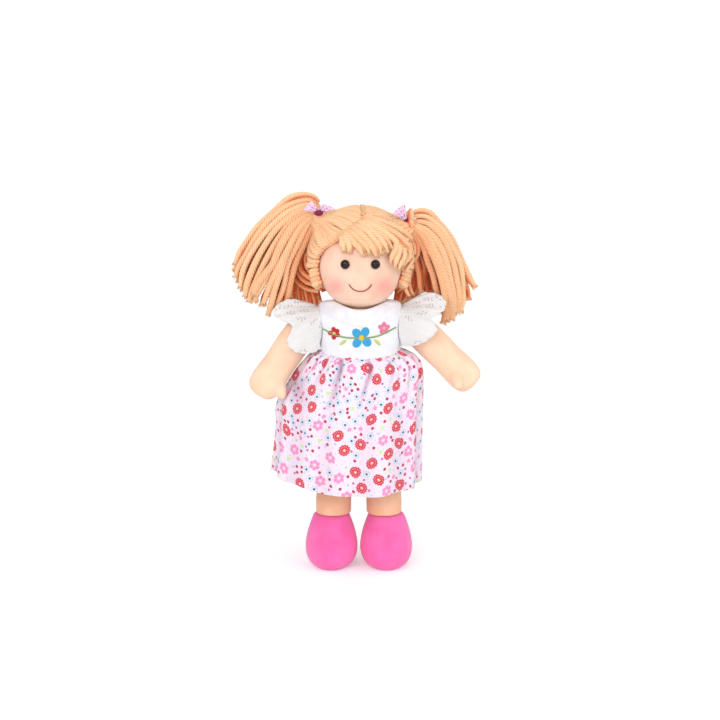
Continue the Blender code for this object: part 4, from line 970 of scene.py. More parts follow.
# %% Loose loops beside the face, and the short ends behind it
loop_lines = [
    [(-38.0, 2, 238.9), (-40.3, 3, 232.9), (-39.6, 3, 227.0), (-35.8, 1, 222.7), (-30.5, -4, 220.2)],
    [(-37.9, 3, 249.1), (-41.7, 4, 238.7), (-44.5, 5, 230.5), (-43.0, 4, 223.1), (-38.1, 1, 219.0), (-30.5, -4, 216.5)],
    [(-38.7, 4, 252.0), (-44.1, 6, 240.1), (-47.5, 7, 229.6), (-46.1, 7, 220.6), (-40.4, 4, 215.0), (-30.6, -2, 212.6)],
    [(-39.5, 5, 253.4), (-46.4, 8, 238.4), (-50.7, 10, 226.3), (-48.9, 10, 216.6), (-42.1, 8, 210.8),
     (-31.5, 2, 208.4)],
]
tuft_lines = [
    [(-33.6, 8, 256.9), (-34.5, 10, 238.3), (-34.7, 12, 221.7), (-32.6, 13, 209.5), (-30.3, 12, 198.8)],
    [(-34.8, 8, 256.9), (-36.4, 9, 238.3), (-37.0, 10, 221.7), (-35.4, 11, 209.5), (-33.2, 11, 196.8)],
    [(-35.9, 9, 256.9), (-38.3, 11, 238.2), (-39.2, 13, 221.6), (-37.9, 14, 207.9), (-36.2, 13, 196.4)],
    [(-36.6, 8, 256.9), (-40.2, 10, 238.2), (-41.4, 11, 221.6), (-40.4, 12, 207.9), (-39.0, 12, 198.4)],
    [(-37.4, 9, 256.9), (-42.1, 12, 238.1), (-43.8, 14, 221.5), (-43.2, 15, 207.8), (-42.0, 14, 198.6)],
    [(-37.8, 8, 256.9), (-43.6, 11, 238.1), (-46.0, 13, 221.5), (-45.6, 14, 207.8), (-45.0, 14, 199.8)],
    [(-38.1, 10, 256.8), (-45.1, 13, 238.0), (-48.0, 15, 221.4), (-47.8, 16, 207.7), (-47.6, 15, 199.2)],
    [(-38.5, 9, 256.8), (-46.8, 12, 238.0), (-50.2, 14, 221.3), (-50.6, 15, 208.4), (-50.4, 15, 200.8)],
    [(-38.9, 10, 256.8), (-48.2, 14, 238.0), (-52.2, 16, 221.3), (-53.1, 17, 209.1), (-53.1, 16, 200.6)],
    [(34.7, 8, 250.3), (34.1, 10, 236.8), (32.0, 12, 223.2), (29.1, 13, 211.0), (26.4, 12, 199.0)],
    [(35.8, 8, 250.3), (36.0, 9, 236.8), (34.2, 10, 223.2), (31.4, 11, 211.0), (28.8, 11, 199.4)],
    [(37.0, 9, 250.2), (37.9, 11, 236.7), (36.5, 13, 223.1), (33.6, 14, 210.9), (31.4, 13, 198.4)],
    [(37.2, 8, 250.2), (39.2, 9, 236.7), (38.6, 10, 223.1), (36.0, 11, 211.6), (33.8, 11, 200.4)],
    [(37.7, 8, 250.3), (40.8, 10, 236.8), (41.0, 12, 223.3), (38.8, 13, 211.7), (36.4, 13, 200.8)],
    [(37.7, 9, 250.2), (42.0, 11, 236.6), (43.0, 12, 223.0), (41.8, 13, 210.8), (39.6, 13, 202.2)],
    [(37.7, 9, 250.2), (43.1, 12, 236.6), (44.8, 14, 223.0), (44.2, 15, 210.8), (42.4, 14, 202.4)],
    [(37.7, 9, 250.2), (44.4, 12, 236.6), (46.4, 13, 222.9), (46.6, 14, 211.4), (45.4, 14, 203.8)],
    [(37.7, 9, 250.2), (45.4, 13, 236.6), (47.9, 15, 222.9), (48.8, 16, 212.2), (48.4, 15, 203.8)],
    [(37.7, 9, 250.2), (47.7, 14, 236.5), (51.7, 16, 222.8), (53.4, 17, 212.1), (53.4, 16, 205.2)],
]
lock_lines = [
    [(38.4, 2, 250.7), (39.3, 3, 234.4), (36.0, 3, 224.0), (33.0, 2, 217.4), (33.6, 1, 210.8), (36.7, 2, 204.5)],
    [(38.8, 3, 250.7), (40.6, 5, 234.4), (38.6, 6, 224.0), (36.0, 5, 216.4), (36.8, 4, 209.8), (39.4, 5, 205.5)],
]
stub_line = [(37.2, -4, 257), (36.9, -6, 262), (36.8, -6.8, 266), (37.1, -6.6, 269.6)]


def short_strands(name, lines, thick, shade, seed, steps=56):
    """Strands along a few points each, a little thinner at the end, all with as much painted shade as shade says."""
    path = even_lines(lines, steps) + wander(len(lines), steps, 0.25 * mm, seed)
    s = np.linspace(0, 1, steps)[None]
    radii = thick * (1 - 0.3 * soft_step(s, 0.75, 1.0)) * np.ones((len(lines), 1))
    guides = unit(path - cap_middle)
    depth = shade * (1 - 0.55 * soft_step(s, 0.75, 1.0)) * np.ones(radii.shape)
    piece = strand_mesh(name, path, radii, guides, hair_yarn, 20, 5, -14 * mm, depth, seed, outward=guides)
    return piece, path, radii


# Painted shade: the loops by the face and the tufts behind it are darkened most, the lock and the nape strands behind
# the tufts a little, the stub not at all.
loops, _, _ = short_strands("side_loops", loop_lines, 2.1 * mm, 0.46, 51)
stub, _, _ = short_strands("yarn_stub", [stub_line], 2.3 * mm, 0.0, 52)
lock, _, _ = short_strands("side_lock", lock_lines, 2.0 * mm, 0.12, 55)
tufts, path, radii = short_strands("nape_tufts", tuft_lines, 2.3 * mm, 0.62, 53)
tuft_ends = frayed_ends("nape_tuft_ends", path, radii, 26, 4.0 * mm, hair_yarn, 54)
back_lines = [[(x * 1.02, y + 5.5, z) for x, y, z in line] for line in tuft_lines[::2]]
nape, path, radii = short_strands("nape_back", back_lines, 2.6 * mm, 0.1, 56)
nape_ends = frayed_ends("nape_back_ends", path, radii, 26, 4.0 * mm, hair_yarn, 57)
for piece in (loops, stub, lock):
    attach(piece, "head")
for piece in (tufts, tuft_ends, nape, nape_ends):
    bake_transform(piece)

# %% [markdown]
# ## Ties and bows
# A covered elastic ring holds each bunch, and a knotted strip of printed cotton sits in front of it. A torus would do
# for the ring, but the fabric cover is gathered, so its tube swells and narrows along the way. A bow end is a sheet
# that starts narrow and pleated at the knot and opens to a slanting cut.

# %% Ties
def elastic_finish():
    """Ribbed elastic in the colour of the yarn, with painted shade in the troughs between its ribs."""
    elastic = Finish("hair_elastic", 0.7, 0.2)
    wave = elastic.axis(elastic.cloth_map(), 0).sine(1.1 * mm)
    return elastic.done(wave.spread(-0.6, 0.6).mix(tone(222, 146, 92), tone(248, 190, 136)), wave, 0.0002, 0.5)


hair_elastic = elastic_finish()


def ring_tube(name, path, radius, material, sides=12):
    """A closed tube along a closed path (step, xyz), with its own radius at each step."""
    along = unit(np.roll(path, -1, 0) - np.roll(path, 1, 0))
    out = unit(path - path.mean(0))
    up = unit(np.cross(along, out))
    out = np.cross(up, along)
    a = full_circle(sides)
    points = path[:, None] + radius[:, None, None] * spokes(a, out[:, None], up[:, None])
    faces, corner_rows, corner_columns = grid_faces(len(path) + 1, sides, True)
    length = lengths(np.vstack([path, path[:1]]))
    corner_map = np.stack([length[corner_rows], corner_columns / sides * 2 * np.pi * radius.mean()], -1)
    return new_piece(name, points, faces % (len(path) * sides), material, corner_map, closed=True)


for side in doll_sides:
    way = tie_ways[side]
    side_way, up_way = np.array([0.0, 1.0, 0.0]), np.cross(way, (0.0, 1.0, 0.0))
    a = full_circle(160)
    middle = tie_places[side] - (0.5 * mm if side == "left" else -0.5 * mm) * np.array([1, 0, 0])
    path = middle + 7.4 * mm * (np.cos(a)[:, None] * side_way + np.sin(a)[:, None] * up_way)
    tie = ring_tube(f"elastic_tie_{side}", path, (1.35 + 0.12 * np.cos(40 * a)) * mm, hair_elastic)
    belongs(tie, "head", f"hair_tie_{side}")


# %% Printed cotton
def scatter(finish, place, pitch, shift, loose):
    """The nearest spot of a loosened square grid: where it is, how far away, the angle to it, a random number."""
    moved = finish.node("VectorMath", {0: place, 1: shift}, operation="ADD")
    inputs = {"Vector": moved, "Scale": 1 / pitch, "Randomness": loose}
    cells = finish.node("TexVoronoi", inputs, "Position", voronoi_dimensions="2D")
    spot = finish.node("VectorMath", {0: cells, 1: shift}, operation="SUBTRACT")
    step = finish.node("VectorMath", {0: place, 1: spot}, operation="SUBTRACT")
    away = finish.node("VectorMath", {0: step}, 1, operation="LENGTH")
    angle = finish.axis(step, 1).math("ARCTAN2", finish.axis(step, 0))
    return spot, away, angle, finish.node("SeparateColor", {0: cells.output("Color")})


def disc(away, angle, radius, petals=0, ruffle=0.0):
    """1 inside a round outline whose radius swings with the angle, so that it has petals."""
    edge = (angle * float(petals)).math("COSINE") * (radius * ruffle) + radius
    return 1.0 - (away / edge).spread(0.90, 1.06)


def dotted_ring(away, angle, radius, wide, count):
    """1 on the dots of a ring."""
    on = 1.0 - (away - radius).math("ABSOLUTE").spread(wide * 0.6, wide * 1.2)
    return on * (angle * float(count)).math("COSINE").spread(-0.2, 0.4)


def printed_finish(name, ground):
    """A ditsy floral on a pale ground: large red and pink flowers, then ringed blue ones and green leaves wherever
    the large ones leave room, then dots wherever both leave room. Room is tested at the middle of each motif."""
    print_ = Finish(name, 0.85, 0.15)
    flat = print_.cloth_map()
    cloud = print_.noise(flat, 120.0)
    base = cloud.spread(0.35, 0.65).mix(ground, tone(243, 232, 250))
    turned = print_.mapped(flat, turn=0.42)
    large, medium = (13.8 * mm, (0.043, 0.052, 0), 0.42), (7.9 * mm, (0.057, 0.011, 0), 0.45)
    small, tiny = (4.5 * mm, (0.004, 0.083, 0), 0.7), (3.3 * mm, (0.091, 0.027, 0), 0.8)

    def room(place, grid, clear_of, empty_from):
        """1 where a place is clear of the nearest spot of a grid, or that spot holds nothing."""
        _, clear, _, kind = scatter(print_, place, *grid)
        return clear.math("GREATER_THAN", clear_of).math("MAXIMUM", kind.math("GREATER_THAN", empty_from))

    _, away, angle, kind = scatter(print_, turned, *large)
    red, pink = kind.between(-1.0, 0.48), kind.between(0.48, 0.68)
    _, near, aim, pick = scatter(print_, turned, *tiny)
    layers = [(disc(near, aim, 0.42 * mm), pick.between(-1.0, 0.3), tone(238, 172, 214)),
              (disc(near, aim, 0.42 * mm), pick.between(0.3, 0.5), tone(176, 200, 228))]
    spot, near, aim, pick = scatter(print_, turned, *medium)
    clear = room(spot, large, 7.0 * mm, 0.68)
    blue = pick.between(-1.0, 0.54) * clear
    layers += [(disc(near, aim, 2.5 * mm), blue, tone(236, 242, 252)),
               (dotted_ring(near, aim, 2.15 * mm, 0.36 * mm, 11), blue, tone(150, 178, 212)),
               (disc(near, aim, 1.25 * mm, 8, 0.2), blue, tone(182, 206, 234)),
               (disc(near, aim, 0.72 * mm), blue, tone(44, 42, 82)),
               (disc(near, aim, 1.6 * mm, 3, 0.22), pick.between(0.54, 0.74) * clear, tone(208, 233, 178)),
               (disc(near, aim, 1.6 * mm, 5, 0.2), pick.between(0.74, 0.96) * clear, tone(242, 158, 208))]
    spot, near, aim, pick = scatter(print_, turned, *small)
    clear = room(spot, large, 5.3 * mm, 0.68) * room(spot, medium, 3.4 * mm, 0.96)
    for low, high, radius, colour in ((-1.0, 0.55, 1.15, tone(188, 50, 82)), (0.55, 0.78, 0.95, tone(214, 100, 170)),
                                      (0.78, 0.96, 0.85, tone(172, 202, 232))):
        layers.append((disc(near, aim, radius * mm, 4, 0.08), pick.between(low, high) * clear, colour))
    layers += [(disc(away, angle, 3.9 * mm, 6, 0.11), pink, tone(247, 166, 212)),
               (dotted_ring(away, angle, 2.5 * mm, 0.7 * mm, 6), pink, tone(240, 134, 194)),
               (disc(away, angle, 1.15 * mm), pink, tone(253, 228, 222)),
               (disc(away, angle, 4.2 * mm, 12, 0.07), red, tone(217, 48, 68)),
               (dotted_ring(away, angle, 2.75 * mm, 0.36 * mm, 12), red, tone(250, 176, 186)),
               (disc(away, angle, 1.5 * mm), red, tone(236, 120, 124)),
               (disc(away, angle, 0.85 * mm), red, tone(255, 226, 190))]
    for share, here, colour in layers:
        base = (share * here).mix(base, colour)
    thread = print_.weave(flat, 0.42 * mm)
    base = (thread.spread(0.2, 1.0) * 0.08).mix(base, tone(206, 190, 210))
    # The inner mark darkens the print to mauve: painted shade in the gathers and by the arm.
    return print_.done(print_.mark("inner").mix(base, tone(154, 92, 128)), cloud * 1.5 + thread, 0.00008, 0.5)


def speckled_finish(name, ground, cloudy, specks):
    """Cotton with small specks: each kind has its own grid, its share of the spots, its radius and its colour."""
    cotton = Finish(name, 0.85, 0.15)
    flat = cotton.cloth_map()
    base = cotton.noise(flat, 420.0).spread(0.35, 0.65).mix(ground, cloudy)
    for number, (pitch, share, radius, colour) in enumerate(specks):
        shift = (0.01 + 0.0137 * number, 0.02 + 0.0091 * number, 0)
        _, away, angle, kind = scatter(cotton, flat, pitch * mm, shift, 0.8)
        base = (disc(away, angle, radius * mm, 3, 0.25) * kind.between(-1.0, share)).mix(base, colour)
    return cotton.done(base, cotton.weave(flat, 0.42 * mm), 0.00008, 0.5)


skirt_print = printed_finish("skirt_print", tone(251, 231, 242))
bow_print = speckled_finish("bow_print", tone(248, 222, 240), tone(240, 206, 234), [
    (2.6, 0.55, 0.62, tone(240, 150, 204)), (3.1, 0.4, 0.60, tone(176, 190, 226)),
    (2.3, 0.42, 0.46, tone(104, 42, 100))])
knot_print = speckled_finish("bow_knot_print", tone(156, 34, 72), tone(124, 28, 66), [
    (2.4, 0.3, 0.4, tone(236, 150, 190))])


# %% Bows
def bow_sheet(name, knot, tip, spread_way, root_half, tip_half, pleats, material):
    """A flared end: its middle line runs from knot to tip, its half width grows as a soft step, and pleats are a sine
    across it that fades towards the tip. The cut at the tip slants."""
    u = np.linspace(0, 1, 34)[:, None]
    v = np.linspace(-1, 1, 40)[None]
    middle = knot + (tip - knot) * u[..., None]
    across = unit(np.array(spread_way, float))
    half = root_half + (tip_half - root_half) * soft_step(u, 0.0, 1.0)
    out = unit(np.cross(tip - knot, across))
    fold = 0.75 * mm * np.sin(v * np.pi * pleats) * (0.3 + 0.7 * np.sin(np.pi * np.clip(u, 0, 1) ** 0.7))
    cup = -0.8 * mm * u * v**2
    slant = 1.1 * mm * v * u**3
    run = unit(tip - knot)
    grid = middle + across * (half * v)[..., None] + out * (fold + cup)[..., None] + run * slant[..., None]
    length = np.linalg.norm(tip - knot)
    cloth = np.stack([np.broadcast_to(v * tip_half + 0.05, fold.shape), np.broadcast_to(u * length, fold.shape)], -1)
    piece = cloth_piece(name, grid, cloth, material, 0.35 * mm)
    long = max(length, 10 * mm)
    area = min(1, (root_half + tip_half) * 1.35 / (10 * mm)) * 10 * mm * long
    return piece


def knot_piece(name, place, way, size, material):
    """A soft knot: an ellipsoid pulled in round its middle, with creases along it."""
    a = full_circle(48)[None]
    p = np.linspace(0, np.pi, 26)[:, None]
    crease = 1 + 0.07 * np.sin(7 * a + 3 * p) - 0.10 * np.exp(-(((p - np.pi / 2) / 0.35) ** 2))
    way = unit(np.array(way, float))
    side_way = unit(np.cross(way, (0, 1, 0)))
    out = np.cross(side_way, way)
    body = np.sin(p) * crease
    ring = (body * np.cos(a))[..., None] * side_way * size[0] + (body * np.sin(a))[..., None] * out * size[1]
    grid = place + ring + (np.cos(p) * np.ones_like(a))[..., None] * way * size[2]
    faces, corner_rows, corner_columns = grid_faces(26, 48, True)
    corner_map = np.stack([corner_columns / 48 * 0.012, corner_rows / 26 * 0.006], -1)
    piece = new_piece(name, grid, faces, material, corner_map)
    mend(piece.data, merge=1e-7, outwards=True)
    return piece


bow_ends = {
    "right": [((-30.2, -9.5, 267.2), (-38.6, -10.8, 272.6), (0.80, 0.1, 0.50), 1.4, 4.6),
              ((-30.2, -9.5, 267.2), (-22.4, -11.2, 271.9), (0.80, -0.1, -0.46), 1.4, 4.4)],
    "left": [((32.8, -9.5, 262.4), (27.5, -11.2, 270.2), (0.88, 0.1, 0.47), 1.6, 5.6),
             ((33.4, -5.5, 262.0), (39.0, -4.5, 264.6), (0.5, 0.1, -0.85), 1.4, 3.0)],
}
for side, ends in bow_ends.items():
    made = []
    for number, (knot, tip, across, root_half, tip_half) in enumerate(ends, 1):
        knot, tip = np.array(knot) * mm, np.array(tip) * mm
        halves = (root_half * mm, tip_half * mm)
        made.append(bow_sheet(f"bow_end_{side}_{number}", knot, tip, across, *halves, 2.5, bow_print))
    knot_place, knot_size = knot + (0, -0.6 * mm, -0.3 * mm), (2.3 * mm, 1.8 * mm, 3.3 * mm)
    made.append(knot_piece(f"bow_knot_{side}", knot_place, (1, 0, 0.1), knot_size, knot_print))
    for piece in made:
        belongs(piece, "head")
    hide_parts(f"bow_{side}")

# %% [markdown]
# ## The dress
# The dress has a plain white yoke with a bound neck, eyelet frills round the armholes and a gathered skirt in a small
# flower print. Cloth simulation could drape it from flat pieces, but a yoke that is sewn to shape sits where its
# pattern puts it, so the yoke is the body's own outline with room for the cloth, and the folds are sums of waves.

# %% White cottons
def white_finish(name, pitch, ground, shade):
    """White cotton with a plain weave and a faint blue-grey in the hollows of its thread."""
    cotton = Finish(name, 0.85, 0.2)
    flat = cotton.cloth_map()
    thread, cloud = cotton.weave(flat, pitch), cotton.noise(flat, 160.0, 3.0)
    base = (cloud.spread(0.3, 0.75) * 0.5).mix(ground, shade)
    return cotton.done((thread.spread(0.1, 1.0) * 0.18).mix(base, shade), cloud * 1.2 + thread, 0.00012, 0.5)


def eyelet_finish():
    """Eyelet cotton: flowers of six small worked holes round a seventh, each hole with a raised ring of thread, and
    a satin edge."""
    cotton = Finish("eyelet_cotton", 0.85, 0.25, Subsurface_Weight=0.5, Subsurface_Radius=(1.0, 1.0, 1.0),
                    Subsurface_Scale=0.0014)
    flat = cotton.cloth_map()
    _, away, turn, chance = scatter(cotton, flat, 9.5 * mm, (0, 0, 0), 0.3)
    petal = (turn * (6 / full_turn)).math("FRACT") - 0.5
    across, out = petal * (full_turn / 6) * away, away - 2.4 * mm
    far = (across * across + out * out).math("SQRT").math("MINIMUM", away)
    edge = cotton.axis(flat, 1)
    worked = edge.spread(2.0 * mm, 2.6 * mm) * chance.math("LESS_THAN", 0.55)
    hole = (1.0 - far.spread(0.40 * mm, 0.56 * mm)) * worked
    ring = (1.0 - (far - 0.80 * mm).math("ABSOLUTE").spread(0.1 * mm, 0.4 * mm)) * worked
    satin = 1.0 - edge.spread(1.1 * mm, 1.5 * mm)
    thread = cotton.weave(flat, 0.36 * mm)
    base = (thread.spread(0.0, 1.0) * 0.12).mix(tone(255, 255, 255), tone(234, 236, 244))
    # The holes are not cut: they are painted grey, painted shade for what shows through them.
    base = hole.mix(ring.mix(base, tone(255, 255, 255)), tone(172, 160, 168))
    return cotton.done(base, ring * 4.0 + hole * -5.0 + satin * 4.0 + thread, 0.00012, 0.7)


yoke_cotton = white_finish("yoke_cotton", 0.5 * mm, tone(245, 244, 250), tone(222, 224, 238))
eyelet_cotton = eyelet_finish()

# %% Body outline
body_low, body_high, body_tall = 85.5 * mm, 195.0 * mm, 109.5 * mm
outline_shares = (0.0, 0.03, 0.065, 0.10, 0.155, 0.23, 0.36, 0.52, 0.67, 0.80, 0.90, 0.96, 1.0)
wide_shares = (0.87, 0.90, 0.92, 0.935, 0.95, 0.97, 0.985, 0.965, 0.925, 0.95, 1.0, 0.99, 0.90)
deep_shares = (0.055, 0.16, 0.29, 0.42, 0.61, 0.81, 0.98, 1.0, 0.93, 0.84, 0.73, 0.61, 0.36)
body_half_wide, body_half_deep = 31 * mm, 25 * mm
power = 2.6


def body_size(z):
    """Half the body's width and half its depth at a height."""
    share = (np.asarray(z) - body_low) / body_tall
    wide, deep = (soft_curve(share, outline_shares, shares) for shares in (wide_shares, deep_shares))
    return wide * body_half_wide, deep * body_half_deep


def body_reach(a, z, gap):
    """How far the outline reaches in the direction a: 1 / ((|cos a| / w)^2.6 + (|sin a| / d)^2.6)^(1 / 2.6)."""
    wide, deep = body_size(z)
    total = (np.abs(np.cos(a)) / (wide + gap)) ** power + (np.abs(np.sin(a)) / (deep + gap)) ** power
    return 1 / total ** (1 / power)


def seam_height(a):
    """The seam between yoke and skirt: lower in front and behind than at the sides."""
    return body_high - (29.5 + 4.0 * np.sin(a) ** 2) * mm


def yoke_grid(a, rows, gap):
    """For each direction a, the way over the body from the neck hole to the seam, cut into rows of equal length. Near
    the neck hole the cloth stands up to the head, by a rise that fades over 14 to 25 mm."""
    rim = 1 / np.sqrt((np.cos(a) / (20.0 * mm)) ** 2 + (np.sin(a) / (17.0 * mm)) ** 2)
    heights = np.linspace(body_high, 165 * mm, 60)
    reach_at = np.array([body_reach(a, z, gap) for z in heights])
    top = reach_at[0]
    reached = np.array([np.interp(rim[k], reach_at[:, k], heights) for k in range(len(a))])
    start = np.where(rim > top, reached, body_high)
    flat_way = np.linspace(0, 1, 14)[:, None]
    r1 = np.minimum(rim, top) * (1 - flat_way) + top * flat_way
    r1 = np.where(rim > top, rim, r1)
    z1 = np.broadcast_to(start, r1.shape)
    down = np.linspace(0, 1, 50)[1:, None]
    z2 = start * (1 - down) + seam_height(a) * down
    r2 = np.maximum(body_reach(a[None], z2, gap), np.where(rim > top, rim, 0))
    r, z = np.concatenate([r1, r2]), np.concatenate([z1, z2]) + gap
    for _ in range(3):
        r[1:-1] = (r[:-2] + 2 * r[1:-1] + r[2:]) / 4
        z[1:-1] = (z[:-2] + 2 * z[1:-1] + z[2:]) / 4
    length = lengths(np.stack([r, z], -1))
    stand = (196.0 + 5.4 * np.cos(a) ** 2) * mm - z[0]
    z = z + stand * (1 - soft_step(length / ((14 + 11 * np.cos(a) ** 2) * mm), 0, 1))
    length = lengths(np.stack([r, z], -1))
    t = np.linspace(0, 1, rows)
    r = np.stack([np.interp(t * length[-1, k], length[:, k], r[:, k]) for k in range(len(a))], 1)
    z = np.stack([np.interp(t * length[-1, k], length[:, k], z[:, k]) for k in range(len(a))], 1)
    return np.stack([r * np.cos(a), r * np.sin(a), z], -1), t[:, None] * length[-1]


# %% Yoke
turns = np.linspace(math.pi / 2 + 0.018, 5 * math.pi / 2 - 0.018, 280)
yoke, from_rim = yoke_grid(turns, 60, 1.15 * mm)
out = grid_normals(yoke)
out *= np.sign((out * (yoke - (0, 0, 170 * mm))).sum(-1, keepdims=True))
band = 0.45 * mm * (1 - soft_step(from_rim, 11.4 * mm, 11.9 * mm))
band -= 0.25 * mm * bump_at(from_rim, 12.1 * mm, 0.5 * mm) + 0.22 * mm * bump_at(from_rim, 7.0 * mm, 0.35 * mm)
a = turns[None]
pucker = 0.22 * mm * np.sin(34 * a) * np.exp(-(((from_rim - from_rim[-1]) / (3 * mm)) ** 2))
drape = 0.28 * mm * np.sin(5 * a + 260 * from_rim) * np.sin(3 * a + 1.0)
yoke = yoke + out * (band + pucker + drape)[..., None]
yoke[..., 2] -= 2.1 * mm * (from_rim / from_rim[-1]) ** 3
around = lengths(yoke[34])
cloth = np.stack([np.broadcast_to(around, from_rim.shape), from_rim], -1)
faces, corner_rows, corner_columns = grid_faces(60, 280)
middle = yoke.reshape(-1, 3)[faces].mean(1)
shoulder_z = 180.8 * mm
away = np.hypot(middle[:, 1], middle[:, 2] - shoulder_z)
keep = (away > 13.0 * mm) | (np.abs(middle[:, 0]) < 15.8 * mm)
faces = faces[keep]
used, inverse = np.unique(faces, return_inverse=True)
corner_map = cloth[corner_rows[keep], corner_columns[keep]]
yoke_piece = new_piece("dress_yoke", yoke.reshape(-1, 3)[used], inverse.reshape(-1, 4), yoke_cotton, corner_map)
thicken(yoke_piece, 0.7 * mm)
corners = yoke.reshape(-1, 3)[faces]
across = np.cross(corners[:, 2] - corners[:, 0], corners[:, 3] - corners[:, 1])
belongs(yoke_piece, "torso", "bodice")
print("yoke rows end", yoke[-1, 140], "and start", yoke[0, 140])

# %% Neck binding
a = full_circle(220)
rim, _ = yoke_grid(a, 60, 1.15 * mm)
path = rim[0] * (0.97, 0.97, 1) + (0, 0, -0.2 * mm)
binding = ring_tube("neck_binding_roll", path, (0.85 + 0.05 * np.cos(64 * a)) * mm, yoke_cotton, 16)
belongs(binding, "torso", "neck_binding")

# %% [markdown]
# ## Embroidery
# A garland of three flowers, leaves and a curved stem is worked in satin stitch on the front of the yoke. It could be
# drawn in the yoke's material, but real satin stitch stands up from the cloth and shines along its threads, so each
# petal is a low dome that follows the yoke, with its threads in its bump.

# %% Finding the front of the yoke
front_points = yoke.reshape(-1, 3)
front_points = front_points[front_points[:, 1] < 0]


def on_yoke(x, z, lift):
    """The place on the front of the yoke at (x, z): the mean depth of its nearest points, weighted by closeness."""
    x, z = np.broadcast_arrays(np.asarray(x, float), np.asarray(z, float))
    flat = np.stack([x.ravel(), z.ravel()], 1)
    far = (flat[:, :1] - front_points[None, :, 0]) ** 2 + (flat[:, 1:] - front_points[None, :, 2]) ** 2
    weight = np.exp(-far / (1.1 * mm) ** 2) + 1e-12
    y = (weight * front_points[None, :, 1]).sum(1) / weight.sum(1)
    y = y.reshape(x.shape)
    return np.stack([x, y - lift, z], -1)


def satin_finish(name, colour, dark):
    """Satin stitch: parallel threads, shinier than cotton, with painted shade between them."""
    satin = Finish(name, 0.5, 0.3)
    flat = satin.cloth_map()
    thread = satin.axis(flat, 0).sine(0.34 * mm)
    base = (thread.spread(0.9, -0.9) * 0.5).mix(colour, dark)
    base = (satin.noise(flat, 900.0).spread(0.4, 0.7) * 0.3).mix(base, dark)
    return satin.done(base, thread, 0.00008, 0.8)


def satin_dome(centre, size, turn, rise=0.55 * mm):
    """A petal or leaf: an ellipse on the yoke, turned by an angle; its height is rise times the root of 1 - r^2."""
    r = np.linspace(0, 1, 9)[:, None]
    a = full_circle(32)[None]
    u, v = r * np.cos(a) * size[0], r * np.sin(a) * size[1]
    x = centre[0] + u * math.cos(turn) - v * math.sin(turn)
    z = centre[1] + u * math.sin(turn) + v * math.cos(turn)
    grid = on_yoke(x, z, 0.42 * mm)
    grid[..., 1] -= rise * np.sqrt(1 - r**2 * 0.999) * np.ones_like(a)
    low = grid[-1:].copy()
    low[..., 1] += 0.5 * mm
    grid = np.concatenate([grid, low])
    faces, corner_rows, corner_columns = grid_faces(10, 32, True)
    u = np.concatenate([u * np.ones_like(a), u[-1:]])
    v = np.concatenate([v * np.ones_like(a), v[-1:]])
    corner_map = np.stack([u[corner_rows, corner_columns % 32], v[corner_rows, corner_columns % 32]], -1)
    return grid.reshape(-1, 3), faces, corner_map


def stitched(name, domes, material):
    """Joins several satin domes into one piece of embroidery on the yoke."""
    points, faces, maps, start = [], [], [], 0
    for grid, quads, corner_map in domes:
        points.append(grid)
        faces.append(quads + start)
        maps.append(corner_map.reshape(-1, 2))
        start += len(grid)
    piece = new_piece(name, np.concatenate(points), np.concatenate(faces), material, np.concatenate(maps))
    mend(piece.data, merge=1e-7, over=lambda quads: sum(quad.normal.y for quad in quads) > 0)
    belongs(piece, "torso")
    return piece


# %% Flowers, leaves and stem
flowers = {
    "red": ((-19.3, 179.6), [95, 35, -22, -92, 180], 2.7, (2.0, 1.75), tone(220, 34, 36), tone(150, 18, 24),
            tone(252, 232, 190)),
    "blue": ((0.9, 176.6), [136, 58, 228, 322], 4.9, (3.7, 3.1), tone(62, 184, 238), tone(30, 132, 190),
             tone(250, 220, 60)),
    "pink": ((17.4, 183.4), [90, 18, -54, -126, 162], 2.7, (1.9, 1.7), tone(248, 138, 186), tone(222, 96, 150),
             tone(252, 222, 150)),
}
for name, (centre, angles, reach, size, colour, dark, heart) in flowers.items():
    centre = np.array(centre) * mm
    domes = []
    for a in np.radians(angles):
        place = centre + reach * mm * np.array([math.cos(a), math.sin(a)])
        domes.append(satin_dome(place, (size[0] * mm, size[1] * mm), a))
    stitched(f"flower_{name}", domes, satin_finish(f"{name}_satin", colour, dark))
    heart_dome = satin_dome(centre, (0.45 * reach * mm, 0.45 * reach * mm), 0.4, 1.0 * mm)
    stitched(f"flower_heart_{name}", [heart_dome], satin_finish(f"{name}_heart_satin", heart, tone(214, 160, 60)))
leaf_satin = satin_finish("leaf_satin", tone(226, 226, 136), tone(186, 196, 92))
leaves = [((-12.6, 173.2), 0.62), ((12.6, 173.2), -0.75 + math.pi)]
stitched("garland_leaves", [satin_dome(np.array(c) * mm, (3.1 * mm, 1.25 * mm), a) for c, a in leaves], leaf_satin)
stem_thread = thread_finish("stem_thread", tone(150, 182, 98), tone(98, 136, 70))
t = np.linspace(0, 1, 120)
stem_points = np.array([(-28.6, 182.6), (-14, 177.4), (0, 176.6), (14, 178.2), (26.2, 183.4)]) * mm
stem = soft_curve(t, [0, 0.25, 0.5, 0.78, 1], stem_points)
path = on_yoke(stem[:, 0], stem[:, 1], 0.55 * mm)
guide = np.broadcast_to(np.array([0.0, -1.0, 0.0]), path.shape)
stem_piece = single_strand("garland_stem", path, 0.7 * mm, guide, stem_thread, 10, 3, 2.4 * mm)
belongs(stem_piece, "torso")

# %% [markdown]
# ## Sleeve frills
# Each frill is a strip of eyelet cotton gathered round the armhole. The strip starts on a circle round the armhole
# and its free edge runs further out on a longer way, so it stands in waves. The waves are sums of a few cosines round
# the strip, which grow from the seam to the free edge.

